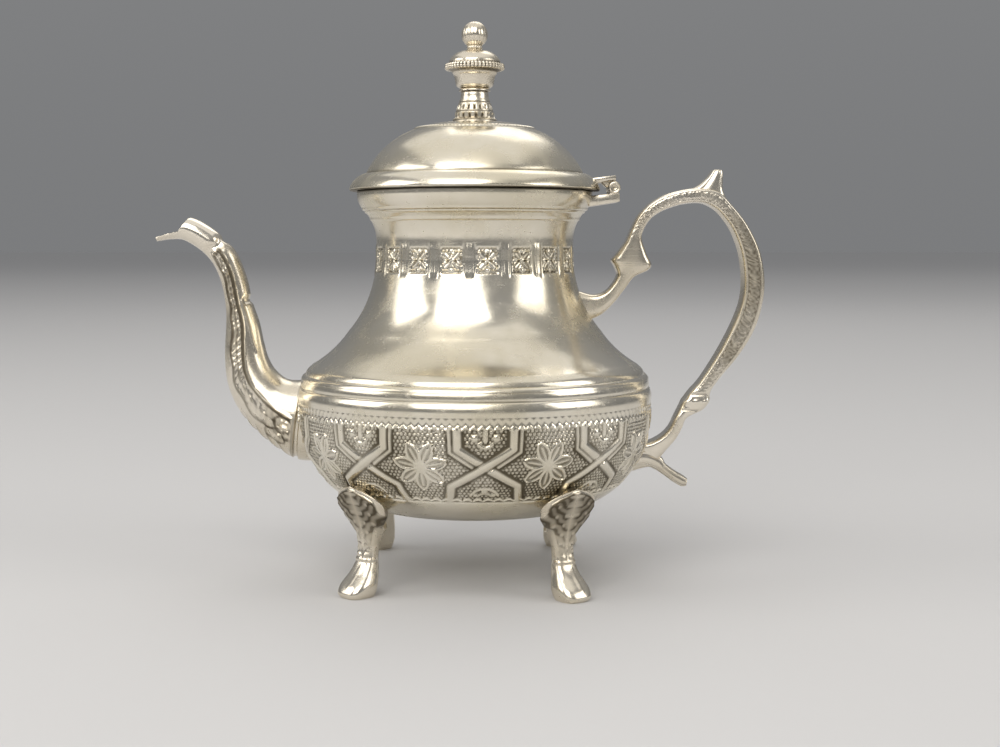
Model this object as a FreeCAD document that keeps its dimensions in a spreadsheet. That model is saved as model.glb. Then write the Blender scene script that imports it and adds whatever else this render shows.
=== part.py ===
"""A silver teapot with a hinged lid, in millimetres.

The pot stands on z = 0 with its axis on z. The spout points along -x and the handle along +x.
Each piece is a separate solid, and pieces that are soldered together lie one solder gap apart.
"""
import FreeCAD, Part
import math
import os
import re
import Sketcher

Vector = FreeCAD.Vector

SIZES = {
    # joints between pieces
    "solder_gap": 0.05,
    # bowl
    "belly_radius": 63.6,
    "belly_height": 58.0,
    "bowl_round": 33.8,
    "bowl_upper_round": 45.0,
    "bowl_wall": 1.2,
    "seam_inset": 1.6,
    "seam_rise": 12.8,
    # shoulder and neck
    "upper_wall": 1.2,
    "lap_depth": 1.8,
    "shoulder_step": 0.6,
    "shoulder_inset": 3.7,
    "shoulder_rise": 5.0,
    "shoulder_round": 5.5,
    "shoulder_hollow": 41.0,
    "waist_step": 9.9,
    "waist_rise": 12.2,
    "neck_radius": 35.2,
    "neck_rise": 25.0,
    "neck_hollow": 40.5,
    "neck_straight": 6.0,
    "flare_step": 3.2,
    "flare_rise": 10.0,
    "flare_hollow": 17.2,
    "neck_flange": 1.5,
    # collar
    "mouth_step": 1.4,
    "collar_step": 6.8,
    "collar_depth": 6.9,
    "collar_edge": 1.4,
    "collar_round": 7.0,
    # lid
    "lid_gap": 0.3,
    "lid_overhang": 2.7,
    "lid_edge": 0.8,
    "lid_wall": 1.0,
    "flange_rise": 6.2,
    "flange_round": 14.0,
    "dome_step": 2.2,
    "dome_round": 29.6,
    "crown_radius": 21.6,
    "crown_rise": 22.0,
    "crown_round": 60.0,
    "crown_flat": 9.0,
    "top_rise": 24.4,
    "bezel_clearance": 0.5,
    "bezel_wall": 1.2,
    "bezel_depth": 5.0,
    # finial
    "stud_radius": 1.5,
    "stud_clearance": 0.05,
    "stem_radius": 7.9,
    "stem_base": 3.4,
    "stem_neck_radius": 4.3,
    "stem_height": 12.0,
    "stem_hollow": 9.0,
    "cup_foot_radius": 6.1,
    "cup_radius": 10.8,
    "cup_rim_rise": 6.6,
    "cup_rim_height": 1.4,
    "cup_height": 13.6,
    "cup_hollow": 9.0,
    "cup_round": 24.0,
    "cup_top_radius": 2.9,
    "ball_radius": 4.68,
    "ball_foot_radius": 3.1,
    "ball_rise": 5.0,
    "stud_engagement": 5.0,
    "washer_radius": 4.5,
    "washer_thickness": 0.8,
    "nut_radius": 3.2,
    "nut_height": 2.4,
    "stud_tail": 1.0,
    # hinge
    "hinge_reach": 7.4,
    "hinge_rise": 1.1,
    "hinge_width": 16.0,
    "hinge_middle": 6.0,
    "hinge_side_gap": 0.3,
    "knuckle_radius": 2.1,
    "knuckle_gap": 0.5,
    "pin_radius": 0.9,
    "pin_clearance": 0.05,
    "pin_end": 0.4,
    "leaf_thickness": 3.0,
    "leaf_drop": 5.2,
    "leaf_slope": 1.6,
    # spout
    "spout_wall": 1.0,
    "mouth_crest_back": 2.0,
    "mouth_crest_rise": 5.5,
    "mouth_corner_ahead": 2.6,
    "mouth_corner_drop": 1.2,
    "mouth_lip_ahead": 1.1,
    "mouth_lip_drop": 0.1,
    "mouth_cut": 12.0,
    # strainer
    "strainer_radius": 13.2,
    "strainer_thickness": 0.8,
    "strainer_drop": 0.6,
    "strainer_reach": 14.0,
    "strainer_hole": 1.3,
    "strainer_ring": 4.2,
    # handle
    "handle_width": 11.0,
    "thumb_width": 9.0,
    "tail_width": 7.0,
    # feet
    "foot_drop": 20.0,
    "foot_half_width": 11.5,
    "foot_shoulder_drop": 7.0,
    "foot_arch": 12.5,
    "foot_flare": 16.0,
    "shank_half_width": 3.9,
    "shank_height": 18.0,
    "ankle_half_width": 3.7,
    "ankle_height": 13.0,
    "toe_half_width": 6.2,
    "toe_height": 4.0,
    "sole_half_width": 5.0,
    "toe_inset": 1.6,
    "toe_nose": 1.8,
    "toe_top_inset": 6.4,
    "toe_top_height": 8.0,
    "instep_hollow": 14.0,
    "shank_inset": 9.6,
    "shank_depth": 4.8,
    "shin_hollow": 26.0,
    "knee_inset": 3.2,
    "heel_inset": 12.6,
    "foot_root": 26.0,
    "spout_foot_angle": 46.4,
    "handle_foot_angle": 54.6,
}

# spout sections: out from the belly, above its height, slope of the run, height and width
SPOUT_SECTIONS = (
    (-12.0, -4.0, 8.0, 30.0, 27.0),
    (0.0, -2.4, 8.0, 28.0, 25.0),
    (7.9, 1.0, 18.0, 23.4, 21.0),
    (14.4, 7.2, 33.0, 20.6, 18.5),
    (18.2, 14.6, 52.0, 18.0, 16.0),
    (19.5, 22.6, 70.0, 15.0, 13.6),
    (20.0, 32.2, 85.0, 12.0, 11.2),
    (21.2, 39.2, 82.0, 9.8, 9.6),
    (23.0, 48.1, 74.0, 9.3, 9.2),
    (26.4, 56.1, 60.0, 9.3, 9.2),
    (32.0, 62.0, 36.0, 8.9, 9.6),
    (39.4, 66.1, 12.0, 8.5, 10.2),
    (45.0, 65.0, -2.0, 5.2, 8.4),
    (50.4, 62.7, -6.0, 2.0, 4.4),
)
# the bore's last section, inside the drip lip
SPOUT_BORE_END = (48.2, 64.3, -4.0, 3.4, 5.4)

# handle from the neck round to the bowl: out from the belly, above its height, thickness
HANDLE_STATIONS = (
    (-37.6, 39.6, 7.0),
    (-18.4, 40.3, 6.2),
    (-11.8, 45.4, 6.6),
    (-8.0, 52.5, 8.4),
    (-7.0, 59.5, 6.4),
    (-5.1, 65.7, 3.8),
    (-0.7, 72.6, 4.4),
    (7.2, 76.8, 4.9),
    (15.2, 77.8, 5.2),
    (23.2, 75.9, 5.6),
    (28.7, 70.2, 5.2),
    (33.4, 62.6, 5.6),
    (37.2, 48.2, 6.8),
    (35.6, 36.4, 6.6),
    (29.8, 24.6, 6.2),
    (21.5, 12.3, 5.2),
    (16.0, 4.8, 6.4),
    (11.5, -1.0, 4.6),
    (8.9, -6.4, 4.2),
    (3.6, -11.8, 5.4),
    (-8.0, -16.0, 9.0),
)
# upright thumb piece and curled tail, both as outlines: out from the belly, above its height
THUMB_OUTLINE = (
    (16.0, 77.0), (20.0, 81.6), (20.9, 86.6), (23.0, 87.2), (25.1, 86.2), (24.6, 79.5), (24.8, 74.5),
)
TAIL_OUTLINE = (
    (-6.0, -18.6), (3.4, -21.4), (6.6, -24.0), (10.2, -27.0),
    (12.5, -27.2), (13.4, -24.6), (9.4, -21.6), (6.0, -18.4), (4.6, -13.0), (-4.0, -10.0),
)
# holes in each ring of the strainer, from the middle out
STRAINER_RINGS = (1, 6, 12)

SPOUT = "spout", ("out", "rise", "slope", "height", "width"), SPOUT_SECTIONS
BORE_END = "bore", ("out", "rise", "slope", "height", "width"), (SPOUT_BORE_END,)
GRIP = "handle", ("out", "rise", "thickness"), HANDLE_STATIONS
THUMB = "thumb", ("out", "rise"), THUMB_OUTLINE
TAIL = "tail", ("out", "rise"), TAIL_OUTLINE
STATIONS = SPOUT, BORE_END, GRIP, THUMB, TAIL
# the spout's sections at its mouth and at the tip of its lip
MOUTH_SECTION = 11
TIP_SECTION = 13

# heights and radii that several pieces share
BOWL_FLOOR = "(belly_height - bowl_round)"
SEAM_RADIUS = "(belly_radius - seam_inset)"
SEAM_HEIGHT = "(belly_height + seam_rise)"
LAP_HEIGHT = f"({SEAM_HEIGHT} - lap_depth)"
STRAINER_HEIGHT = f"({LAP_HEIGHT} - strainer_drop - strainer_radius)"
SHOULDER_RADIUS = f"({SEAM_RADIUS} - shoulder_inset)"
SHOULDER_HEIGHT = f"({SEAM_HEIGHT} + shoulder_rise)"
WAIST_RADIUS = "(neck_radius + waist_step)"
WAIST_HEIGHT = f"({SHOULDER_HEIGHT} + waist_rise)"
NECK_HEIGHT = f"({WAIST_HEIGHT} + neck_rise)"
NECK_TOP = f"({NECK_HEIGHT} + neck_straight)"
FLARE_RADIUS = "(neck_radius + flare_step)"
FLARE_HEIGHT = f"({NECK_TOP} + flare_rise)"
FLANGE_RADIUS = f"({FLARE_RADIUS} + neck_flange)"
COLLAR_BOTTOM = f"({FLARE_HEIGHT} + upper_wall + solder_gap)"
COLLAR_RADIUS = "(neck_radius + collar_step)"
COLLAR_TOP = f"({COLLAR_BOTTOM} + collar_depth)"
MOUTH_RADIUS = "(neck_radius + mouth_step)"
LID_SEAT = f"({COLLAR_TOP} + lid_gap)"
LID_RADIUS = f"({COLLAR_RADIUS} + lid_overhang)"
DOME_RADIUS = f"({MOUTH_RADIUS} + dome_step)"
DOME_FOOT = f"({LID_SEAT} + flange_rise)"
CROWN_HEIGHT = f"({LID_SEAT} + crown_rise)"
LID_TOP = f"({LID_SEAT} + top_rise)"
BEZEL_RADIUS = f"({MOUTH_RADIUS} - bezel_clearance)"
BEZEL_BORE = f"({BEZEL_RADIUS} - bezel_wall)"
STUD_HOLE = "(stud_radius + stud_clearance)"
STEM_FOOT = f"({LID_TOP} + solder_gap)"
CUP_FOOT = f"({STEM_FOOT} + stem_height + solder_gap)"
BALL_FOOT = f"({CUP_FOOT} + cup_height + solder_gap)"
BALL_CENTRE = f"({BALL_FOOT} + ball_rise)"
STUD_TOP = f"({BALL_FOOT} + stud_engagement)"
WASHER_TOP = f"({LID_TOP} - lid_wall - solder_gap)"
NUT_TOP = f"({WASHER_TOP} - washer_thickness - solder_gap)"
STUD_BOTTOM = f"({NUT_TOP} - nut_height - stud_tail)"
HINGE_X = f"({COLLAR_RADIUS} + hinge_reach)"
HINGE_Z = f"({LID_SEAT} + hinge_rise)"
FOOT_TOP = "(belly_height - foot_drop)"
HALF_DIAGONAL = f"{math.sqrt(0.5):.6f}"

doc = FreeCAD.newDocument("Teapot")
sheet = doc.addObject("Spreadsheet::Sheet", "Sizes")


def station_names(prefix, fields, row):
    return [f"{prefix}_{field}_{row}" for field in fields]


def all_sizes():
    """Every size and station of the pot by its name."""
    sizes = dict(SIZES)
    for prefix, fields, rows in STATIONS:
        for index, row in enumerate(rows):
            sizes.update(zip(station_names(prefix, fields, index), row))
    return sizes


CELLS = all_sizes()


def fill_sheet():
    """Put every size in its own aliased cell."""
    for row, (name, number) in enumerate(CELLS.items(), start=1):
        sheet.set(f"A{row}", name)
        sheet.set(f"B{row}", str(number))
        sheet.setAlias(f"B{row}", name)
    doc.recompute()


def bind(text):
    """Turn size names into references to their cells."""
    return re.sub(r"[a-z]\w*", lambda word: f"Sizes.{word[0]}" if word[0] in CELLS else word[0], text)


def value(text):
    return float(sheet.evalExpression(bind(text)))


def stations(prefix, fields, rows):
    """The rows of a run of stations, read from the sheet."""
    names = [station_names(prefix, fields, index) for index in range(len(rows))]
    return [[float(sheet.get(name)) for name in row] for row in names]


def body_of(name):
    body = doc.addObject("PartDesign::Body", name)
    body.Label = name
    return body


def sketch_on(body, name, role):
    """A sketch on one of the body's own origin planes."""
    plane = next(feature for feature in body.Origin.OriginFeatures if feature.Role == role)
    sketch = body.newObject("Sketcher::SketchObject", name)
    sketch.AttachmentSupport = [(plane, "")]
    sketch.MapMode = "FlatFace"
    return sketch


def constrain(sketch, kind, *where, size):
    """Add a dimension that follows its expression."""
    index = sketch.addConstraint(Sketcher.Constraint(kind, *where, value(size)))
    sketch.setExpression(f"Constraints[{index}]", bind(size))


def hold_point(sketch, edge, end, across, up):
    """Tie one end of an edge to its place in the sketch."""
    for axis, kind, text in ((-2, "DistanceX", across), (-1, "DistanceY", up)):
        if text == "0":
            sketch.addConstraint(Sketcher.Constraint("PointOnObject", edge, end, axis))
        else:
            constrain(sketch, kind, -1, 1, edge, end, size=text)


def arc_between(start, end, radius, left):
    """The short arc from start to end that turns left or right, and its end numbers in that order."""
    chord = end - start
    side = Vector(-chord.y, chord.x, 0).normalize() * (1 if left else -1)
    centre = (start + end) / 2 + side * math.sqrt(radius**2 - chord.Length**2 / 4)
    ends = (start, end) if left else (end, start)
    angles = [math.atan2(spot.y - centre.y, spot.x - centre.x) for spot in ends]
    circle = Part.Circle(centre, Vector(0, 0, 1), radius)
    return Part.ArcOfCircle(circle, *angles), (1, 2) if left else (2, 1)


def draw(sketch, corners):
    """Draw a closed outline of corners (across, up), or (across, up, radius, turn) after an arc."""
    spots = [Vector(value(corner[0]), value(corner[1]), 0) for corner in corners]
    edges = []
    for index, corner in enumerate(corners):
        if len(corner) == 2:
            edge = sketch.addGeometry(Part.LineSegment(spots[index - 1], spots[index]))
            edges.append((edge, 1, 2))
        else:
            left = corner[3] == "left"
            arc, ends = arc_between(spots[index - 1], spots[index], value(corner[2]), left)
            edges.append((sketch.addGeometry(arc), *ends))
    for index, corner in enumerate(corners):
        edge, first, last = edges[index]
        before, _, before_last = edges[index - 1]
        sketch.addConstraint(Sketcher.Constraint("Coincident", before, before_last, edge, first))
        hold_point(sketch, edge, last, corner[0], corner[1])
        if len(corner) == 4:
            constrain(sketch, "Radius", edge, size=corner[2])


def turned(name, corners):
    """A piece turned about the pot's axis."""
    body = body_of(name)
    sketch = sketch_on(body, f"{name}_profile", "XZ_Plane")
    draw(sketch, corners)
    turn = body.newObject("PartDesign::Revolution", f"{name}_turn")
    turn.Profile = sketch
    turn.ReferenceAxis = (sketch, ["V_Axis"])
    turn.Angle = 360
    return body


def pad(body, sketch, width, kind="Pad"):
    """Thicken a sketch evenly to both sides, or cut it out with kind Pocket."""
    feature = body.newObject(f"PartDesign::{kind}", f"{sketch.Name}_{kind.lower()}")
    feature.Profile = sketch
    feature.SideType = "Symmetric"
    feature.setExpression("Length", bind(width))
    return feature


def slab(body, name, corners, width, kind="Pad", role="XZ_Plane"):
    sketch = sketch_on(body, name, role)
    draw(sketch, corners)
    return pad(body, sketch, width, kind)


def disc(body, name, across, up, radius, width, kind="Pad"):
    """A round pad or hole along y."""
    sketch = sketch_on(body, name, "XZ_Plane")
    centre = Vector(value(across), value(up), 0)
    edge = sketch.addGeometry(Part.Circle(centre, Vector(0, 0, 1), value(radius)))
    hold_point(sketch, edge, 3, across, up)
    constrain(sketch, "Radius", edge, size=radius)
    return pad(body, sketch, width, kind)


def combined(kind, name, base, tool):
    """A boolean of two pieces."""
    result = doc.addObject(f"Part::{kind}", name)
    result.Base = base
    result.Tool = tool
    result.Label = name
    return result


def rod(name, radius, length):
    cylinder = doc.addObject("Part::Cylinder", name)
    cylinder.Label = name
    cylinder.setExpression("Radius", bind(radius))
    cylinder.setExpression("Height", bind(length))
    return cylinder


def bowl_corners(inset):
    """The bowl's outside from the axis to the rim, drawn in by inset."""
    return [
        ("0", f"{BOWL_FLOOR} + {inset}"),
        ("belly_radius - bowl_round", f"{BOWL_FLOOR} + {inset}"),
        (f"belly_radius - {inset}", "belly_height", f"bowl_round - {inset}", "left"),
        (f"{SEAM_RADIUS} - {inset}", SEAM_HEIGHT, f"bowl_upper_round - {inset}", "left"),
    ]


def bowl_lining(name, inset):
    """The room inside the bowl, as a solid, drawn in by inset from its outside."""
    return turned(name, bowl_corners(inset) + [("0", SEAM_HEIGHT)])


def pot_envelope():
    """The pot's outside as one solid, one solder gap larger, that trims what is soldered on."""
    gap = "solder_gap"
    corners = bowl_corners(f"(-{gap})") + [
        (f"{SHOULDER_RADIUS} + {gap}", SHOULDER_HEIGHT, f"shoulder_round + {gap}", "left"),
        (f"{WAIST_RADIUS} + {gap}", WAIST_HEIGHT, f"shoulder_hollow - {gap}", "right"),
        (f"neck_radius + {gap}", NECK_HEIGHT, f"neck_hollow - {gap}", "right"),
        (f"neck_radius + {gap}", NECK_TOP),
        (f"{FLARE_RADIUS} + {gap}", FLARE_HEIGHT, f"flare_hollow - {gap}", "right"),
        (f"{FLANGE_RADIUS} + {gap}", FLARE_HEIGHT),
        (f"{FLANGE_RADIUS} + {gap}", COLLAR_BOTTOM),
        (f"{COLLAR_RADIUS} + {gap}", f"{COLLAR_TOP} - collar_edge", f"collar_round + {gap}", "left"),
        (f"{COLLAR_RADIUS} + {gap}", COLLAR_TOP),
        ("0", COLLAR_TOP),
    ]
    return turned("pot_envelope", corners)


def lid_outside(gap):
    """The lid's outside from its edge up to the flat of the crown."""
    return [
        (f"{LID_RADIUS} + {gap}", LID_SEAT),
        (f"{LID_RADIUS} + {gap}", f"{LID_SEAT} + lid_edge"),
        (f"{DOME_RADIUS} + {gap}", DOME_FOOT, f"flange_round + {gap}", "left"),
        (f"crown_radius + {gap}", CROWN_HEIGHT, f"dome_round + {gap}", "left"),
        ("crown_flat", f"{LID_TOP} + {gap}", f"crown_round + {gap}", "left"),
    ]


def lower_bowl(bore):
    wall = "bowl_wall"
    inside = [
        (f"{SEAM_RADIUS} - {wall}", SEAM_HEIGHT),
        (f"belly_radius - {wall}", "belly_height", f"bowl_upper_round - {wall}", "right"),
        ("belly_radius - bowl_round", f"{BOWL_FLOOR} + {wall}", f"bowl_round - {wall}", "right"),
        ("0", f"{BOWL_FLOOR} + {wall}"),
    ]
    shell = turned("bowl_shell", bowl_corners("0 * bowl_wall") + inside)
    return combined("Cut", "lower_bowl", shell, bore)


def upper_body():
    skirt = f"({SEAM_RADIUS} - bowl_wall - solder_gap)"
    seat = f"({SEAM_HEIGHT} + solder_gap)"
    wall = "upper_wall"
    slant = f"{HALF_DIAGONAL} * {wall}"
    return turned("upper_body", [
        (skirt, LAP_HEIGHT),
        (skirt, seat),
        (f"{SEAM_RADIUS} - shoulder_step", seat),
        (SHOULDER_RADIUS, SHOULDER_HEIGHT, "shoulder_round", "left"),
        (WAIST_RADIUS, WAIST_HEIGHT, "shoulder_hollow", "right"),
        ("neck_radius", NECK_HEIGHT, "neck_hollow", "right"),
        ("neck_radius", NECK_TOP),
        (FLARE_RADIUS, FLARE_HEIGHT, "flare_hollow", "right"),
        (FLANGE_RADIUS, FLARE_HEIGHT),
        (FLANGE_RADIUS, f"{FLARE_HEIGHT} + {wall}"),
        (f"{FLARE_RADIUS} - {wall}", f"{FLARE_HEIGHT} + {wall}"),
        (f"neck_radius - {wall}", NECK_TOP, f"flare_hollow + {wall}", "left"),
        (f"neck_radius - {wall}", NECK_HEIGHT),
        (f"{WAIST_RADIUS} - {slant}", f"{WAIST_HEIGHT} - {slant}", f"neck_hollow + {wall}", "left"),
        (f"{SHOULDER_RADIUS} - {slant}", f"{SHOULDER_HEIGHT} - {slant}", f"shoulder_hollow + {wall}", "left"),
        (f"{skirt} - {wall}", seat),
        (f"{skirt} - {wall}", LAP_HEIGHT),
    ])


def neck_collar():
    return turned("neck_collar", [
        (MOUTH_RADIUS, COLLAR_BOTTOM),
        (FLANGE_RADIUS, COLLAR_BOTTOM),
        (COLLAR_RADIUS, f"{COLLAR_TOP} - collar_edge", "collar_round", "left"),
        (COLLAR_RADIUS, COLLAR_TOP),
        (MOUTH_RADIUS, COLLAR_TOP),
    ])


def spout_oval(section, wall):
    """An oval across the spout's run, drawn in by wall, that starts at its top."""
    out, rise, slope, height, width = section
    lean = math.radians(slope)
    centre = Vector(-value("belly_radius") - out, 0, value("belly_height") + rise)
    upright = Vector(math.sin(lean), 0, math.cos(lean)) * (height / 2 - wall)
    sideways = Vector(0, width / 2 - wall, 0)
    if upright.Length >= sideways.Length:
        tall = Part.Ellipse(centre + upright, centre + sideways, centre)
        curve = tall.toBSpline(0, 2 * math.pi)
    else:
        wide = Part.Ellipse(centre + sideways, centre - upright, centre)
        curve = wide.toBSpline(-math.pi / 2, 1.5 * math.pi)
    return Part.Wire(curve.toShape())


def spout_loft(name, sections, wall):
    loft = doc.addObject("Part::Feature", name)
    loft.Shape = Part.makeLoft([spout_oval(section, wall) for section in sections], True)
    return loft


def spout_bore():
    """The way through the spout, which also pierces the bowl."""
    sections = stations(*SPOUT)[:-1] + stations(*BORE_END)
    return spout_loft("spout_bore", sections, value("spout_wall"))


def spout_mouth():
    """The wedge that opens the top of the spout's end and leaves the drip lip."""
    body = body_of("spout_mouth")

    def corner(section, ahead, rise):
        out = f"-belly_radius - spout_out_{section} - ({ahead})"
        return out, f"belly_height + spout_rise_{section} + ({rise})"

    crest = corner(MOUTH_SECTION, "-mouth_crest_back", "mouth_crest_rise")
    lip = corner(TIP_SECTION, "mouth_lip_ahead", "-mouth_lip_drop")
    above = f"{crest[1]} + mouth_cut"
    slab(body, "spout_mouth_outline", [
        crest,
        corner(MOUTH_SECTION, "mouth_corner_ahead", "-mouth_corner_drop"),
        lip,
        (lip[0], above),
        (crest[0], above),
    ], "2 * mouth_cut")
    return body


def spout(bore, envelope):
    outside = spout_loft("spout_outside", stations(*SPOUT), 0)
    hollow = combined("Cut", "spout_hollow", outside, bore)
    opened = combined("Cut", "spout_opened", hollow, spout_mouth())
    return combined("Cut", "spout", opened, envelope)


def strainer_sketch(body, name, ring, radius):
    """A circle that faces the spout, up by so many ring steps from the strainer's middle."""
    sketch = sketch_on(body, name, "YZ_Plane")
    sketch.setExpression("AttachmentOffset.Base.y", bind(STRAINER_HEIGHT))
    sketch.setExpression("AttachmentOffset.Base.z", bind("-belly_radius"))
    middle = Vector(0, ring * value("strainer_ring"), 0)
    edge = sketch.addGeometry(Part.Circle(middle, Vector(0, 0, 1), value(radius)))
    hold_point(sketch, edge, 3, "0", f"{ring} * strainer_ring" if ring else "0")
    constrain(sketch, "Radius", edge, size=radius)
    return sketch


def strainer_plate():
    """A pierced sheet that follows the bowl's inside behind the spout."""
    body = body_of("strainer_disc")
    outline = strainer_sketch(body, "strainer_outline", 0, "strainer_radius")
    pad(body, outline, "2 * strainer_reach")
    for ring, count in enumerate(STRAINER_RINGS):
        holes = strainer_sketch(body, f"strainer_hole_{ring}", ring, "strainer_hole")
        pocket = pad(body, holes, "2 * strainer_reach", "Pocket")
        doc.recompute()
        pattern = body.newObject("PartDesign::PolarPattern", f"strainer_ring_{ring}")
        pattern.Originals = [pocket]
        pattern.Axis = (outline, ["N_Axis"])
        pattern.Angle = 360
        pattern.Occurrences = count
        body.Tip = pattern
    outer = bowl_lining("strainer_outer", "(bowl_wall + solder_gap)")
    inner = bowl_lining("strainer_inner", "(bowl_wall + solder_gap + strainer_thickness)")
    dished = combined("Common", "strainer_dished", body, outer)
    return combined("Cut", "strainer_plate", dished, inner)


def handle_sides():
    """Points along the handle's two edges, half a thickness to each side of its middle."""
    rows = stations(*GRIP)
    middle = [Vector(out, rise, 0) for out, rise, _ in rows]
    sides = [], []
    for index, (_, _, thickness) in enumerate(rows):
        before = middle[max(index - 1, 0)]
        after = middle[min(index + 1, len(middle) - 1)]
        run = (after - before).normalize()
        across = Vector(-run.y, run.x, 0) * thickness / 2
        sides[0].append(middle[index] + across)
        sides[1].append(middle[index] - across)
    return sides


def curve_through(points):
    curve = Part.BSplineCurve()
    curve.interpolate(points)
    return curve


def place_by_bowl(sketch):
    """Measure a sketch from the belly's edge at the belly's height."""
    sketch.setExpression("AttachmentOffset.Base.x", bind("belly_radius"))
    sketch.setExpression("AttachmentOffset.Base.y", bind("belly_height"))


def handle(envelope):
    body = body_of("handle_casting")
    grip = sketch_on(body, "handle_outline", "XZ_Plane")
    place_by_bowl(grip)
    left, right = handle_sides()
    grip.addGeometry(curve_through(left))
    grip.addGeometry(curve_through(right))
    grip.addGeometry(Part.LineSegment(left[0], right[0]))
    grip.addGeometry(Part.LineSegment(left[-1], right[-1]))
    pad(body, grip, "handle_width")
    for outline, width in ((THUMB, "thumb_width"), (TAIL, "tail_width")):
        sketch = sketch_on(body, f"{outline[0]}_outline", "XZ_Plane")
        place_by_bowl(sketch)
        points = [Vector(*spot, 0) for spot in stations(*outline)]
        sketch.addGeometry(curve_through(points))
        sketch.addGeometry(Part.LineSegment(points[-1], points[0]))
        pad(body, sketch, width)
    return combined("Cut", "handle", body, envelope)


def foot(name, envelope, angle):
    """A cast foot in its own upright plane, trimmed to the bowl and turned to its place."""
    def inward(inset):
        return f"belly_radius - {inset}"

    side = body_of(f"{name}_side")
    slab(side, f"{name}_side_outline", [
        (inward("heel_inset"), "0"),
        (inward("(toe_inset + toe_nose / 2)"), "0"),
        (inward("toe_inset"), "toe_nose"),
        (inward("toe_top_inset"), "toe_top_height"),
        (inward("shank_inset"), "shank_height", "instep_hollow", "right"),
        (inward("knee_inset"), FOOT_TOP, "shin_hollow", "right"),
        (inward("foot_root"), FOOT_TOP),
        (inward("(shank_inset + shank_depth)"), "shank_height"),
    ], "4 * foot_half_width")
    front = body_of(f"{name}_front")
    shoulder = f"{FOOT_TOP} - foot_shoulder_drop"
    slab(front, f"{name}_front_outline", [
        ("sole_half_width", "0"),
        ("toe_half_width", "toe_height"),
        ("ankle_half_width", "ankle_height"),
        ("shank_half_width", "shank_height"),
        ("foot_half_width", shoulder, "foot_flare", "right"),
        ("0", FOOT_TOP, "foot_arch", "left"),
        ("-foot_half_width", shoulder, "foot_arch", "left"),
        ("-shank_half_width", "shank_height", "foot_flare", "right"),
        ("-ankle_half_width", "ankle_height"),
        ("-toe_half_width", "toe_height"),
        ("-sole_half_width", "0"),
    ], "4 * belly_radius", role="YZ_Plane")
    casting = combined("Common", f"{name}_casting", side, front)
    trimmed = combined("Cut", name, casting, envelope)
    trimmed.Placement = FreeCAD.Placement(Vector(), FreeCAD.Rotation(Vector(0, 0, 1), 1))
    trimmed.setExpression("Placement.Rotation.Angle", bind(angle))
    return trimmed


def hinge_body_leaf(envelope):
    body = body_of("body_leaf_blank")
    bottom = f"({HINGE_Z} - leaf_drop)"
    outer = f"({HINGE_X} + knuckle_radius)"
    inner = f"({HINGE_X} - knuckle_radius)"
    root = MOUTH_RADIUS
    slab(body, "body_leaf_outline", [
        (root, f"{bottom} - leaf_slope"),
        (outer, bottom),
        (outer, HINGE_Z),
        (inner, HINGE_Z),
        (inner, f"{bottom} + leaf_thickness"),
        (root, f"{bottom} + leaf_thickness - leaf_slope / 2"),
    ], "hinge_width")
    disc(body, "body_knuckles", HINGE_X, HINGE_Z, "knuckle_radius", "hinge_width")
    slot_floor = f"{HINGE_Z} - knuckle_radius - knuckle_gap"
    slab(body, "body_leaf_slot", [
        (f"{inner} - knuckle_gap", slot_floor),
        (f"{outer} + knuckle_gap", slot_floor),
        (f"{outer} + knuckle_gap", f"{HINGE_Z} + knuckle_radius + knuckle_gap"),
        (f"{inner} - knuckle_gap", f"{HINGE_Z} + knuckle_radius + knuckle_gap"),
    ], "hinge_middle + 2 * hinge_side_gap", "Pocket")
    disc(body, "body_leaf_bore", HINGE_X, HINGE_Z, "pin_radius + pin_clearance", "2 * hinge_width", "Pocket")
    return combined("Cut", "hinge_body_leaf", body, envelope)


def hinge_lid_leaf(lid_envelope):
    body = body_of("lid_leaf_blank")
    root = DOME_RADIUS
    slab(body, "lid_leaf_outline", [
        (root, HINGE_Z),
        (HINGE_X, HINGE_Z),
        (HINGE_X, f"{HINGE_Z} + knuckle_radius"),
        (root, f"{HINGE_Z} + knuckle_radius"),
    ], "hinge_middle")
    disc(body, "lid_knuckle", HINGE_X, HINGE_Z, "knuckle_radius", "hinge_middle")
    disc(body, "lid_leaf_bore", HINGE_X, HINGE_Z, "pin_radius + pin_clearance", "2 * hinge_width", "Pocket")
    return combined("Cut", "hinge_lid_leaf", body, lid_envelope)


def hinge_pin():
    pin = rod("hinge_pin", "pin_radius", "hinge_width + 2 * pin_end")
    pin.Placement = FreeCAD.Placement(Vector(), FreeCAD.Rotation(Vector(1, 0, 0), -90))
    pin.setExpression("Placement.Base.x", bind(HINGE_X))
    pin.setExpression("Placement.Base.y", bind("-hinge_width / 2 - pin_end"))
    pin.setExpression("Placement.Base.z", bind(HINGE_Z))
    return pin


def lid_dome():
    wall = "lid_wall"
    slant = f"{HALF_DIAGONAL} * {wall}"
    inside = [
        (STUD_HOLE, LID_TOP),
        (STUD_HOLE, f"{LID_TOP} - {wall}"),
        ("crown_flat", f"{LID_TOP} - {wall}"),
        (f"crown_radius - {slant} / 2", f"{CROWN_HEIGHT} - {wall}", f"crown_round - {wall}", "right"),
        (f"{DOME_RADIUS} - {wall}", DOME_FOOT, f"dome_round - {wall}", "right"),
        (BEZEL_BORE, f"{LID_SEAT} + {wall}"),
        (BEZEL_BORE, LID_SEAT),
    ]
    return turned("lid_dome", lid_outside("0 * lid_wall") + inside)


def lid_envelope():
    corners = lid_outside("solder_gap") + [("0", f"{LID_TOP} + solder_gap"), ("0", LID_SEAT)]
    return turned("lid_envelope", corners)


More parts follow.
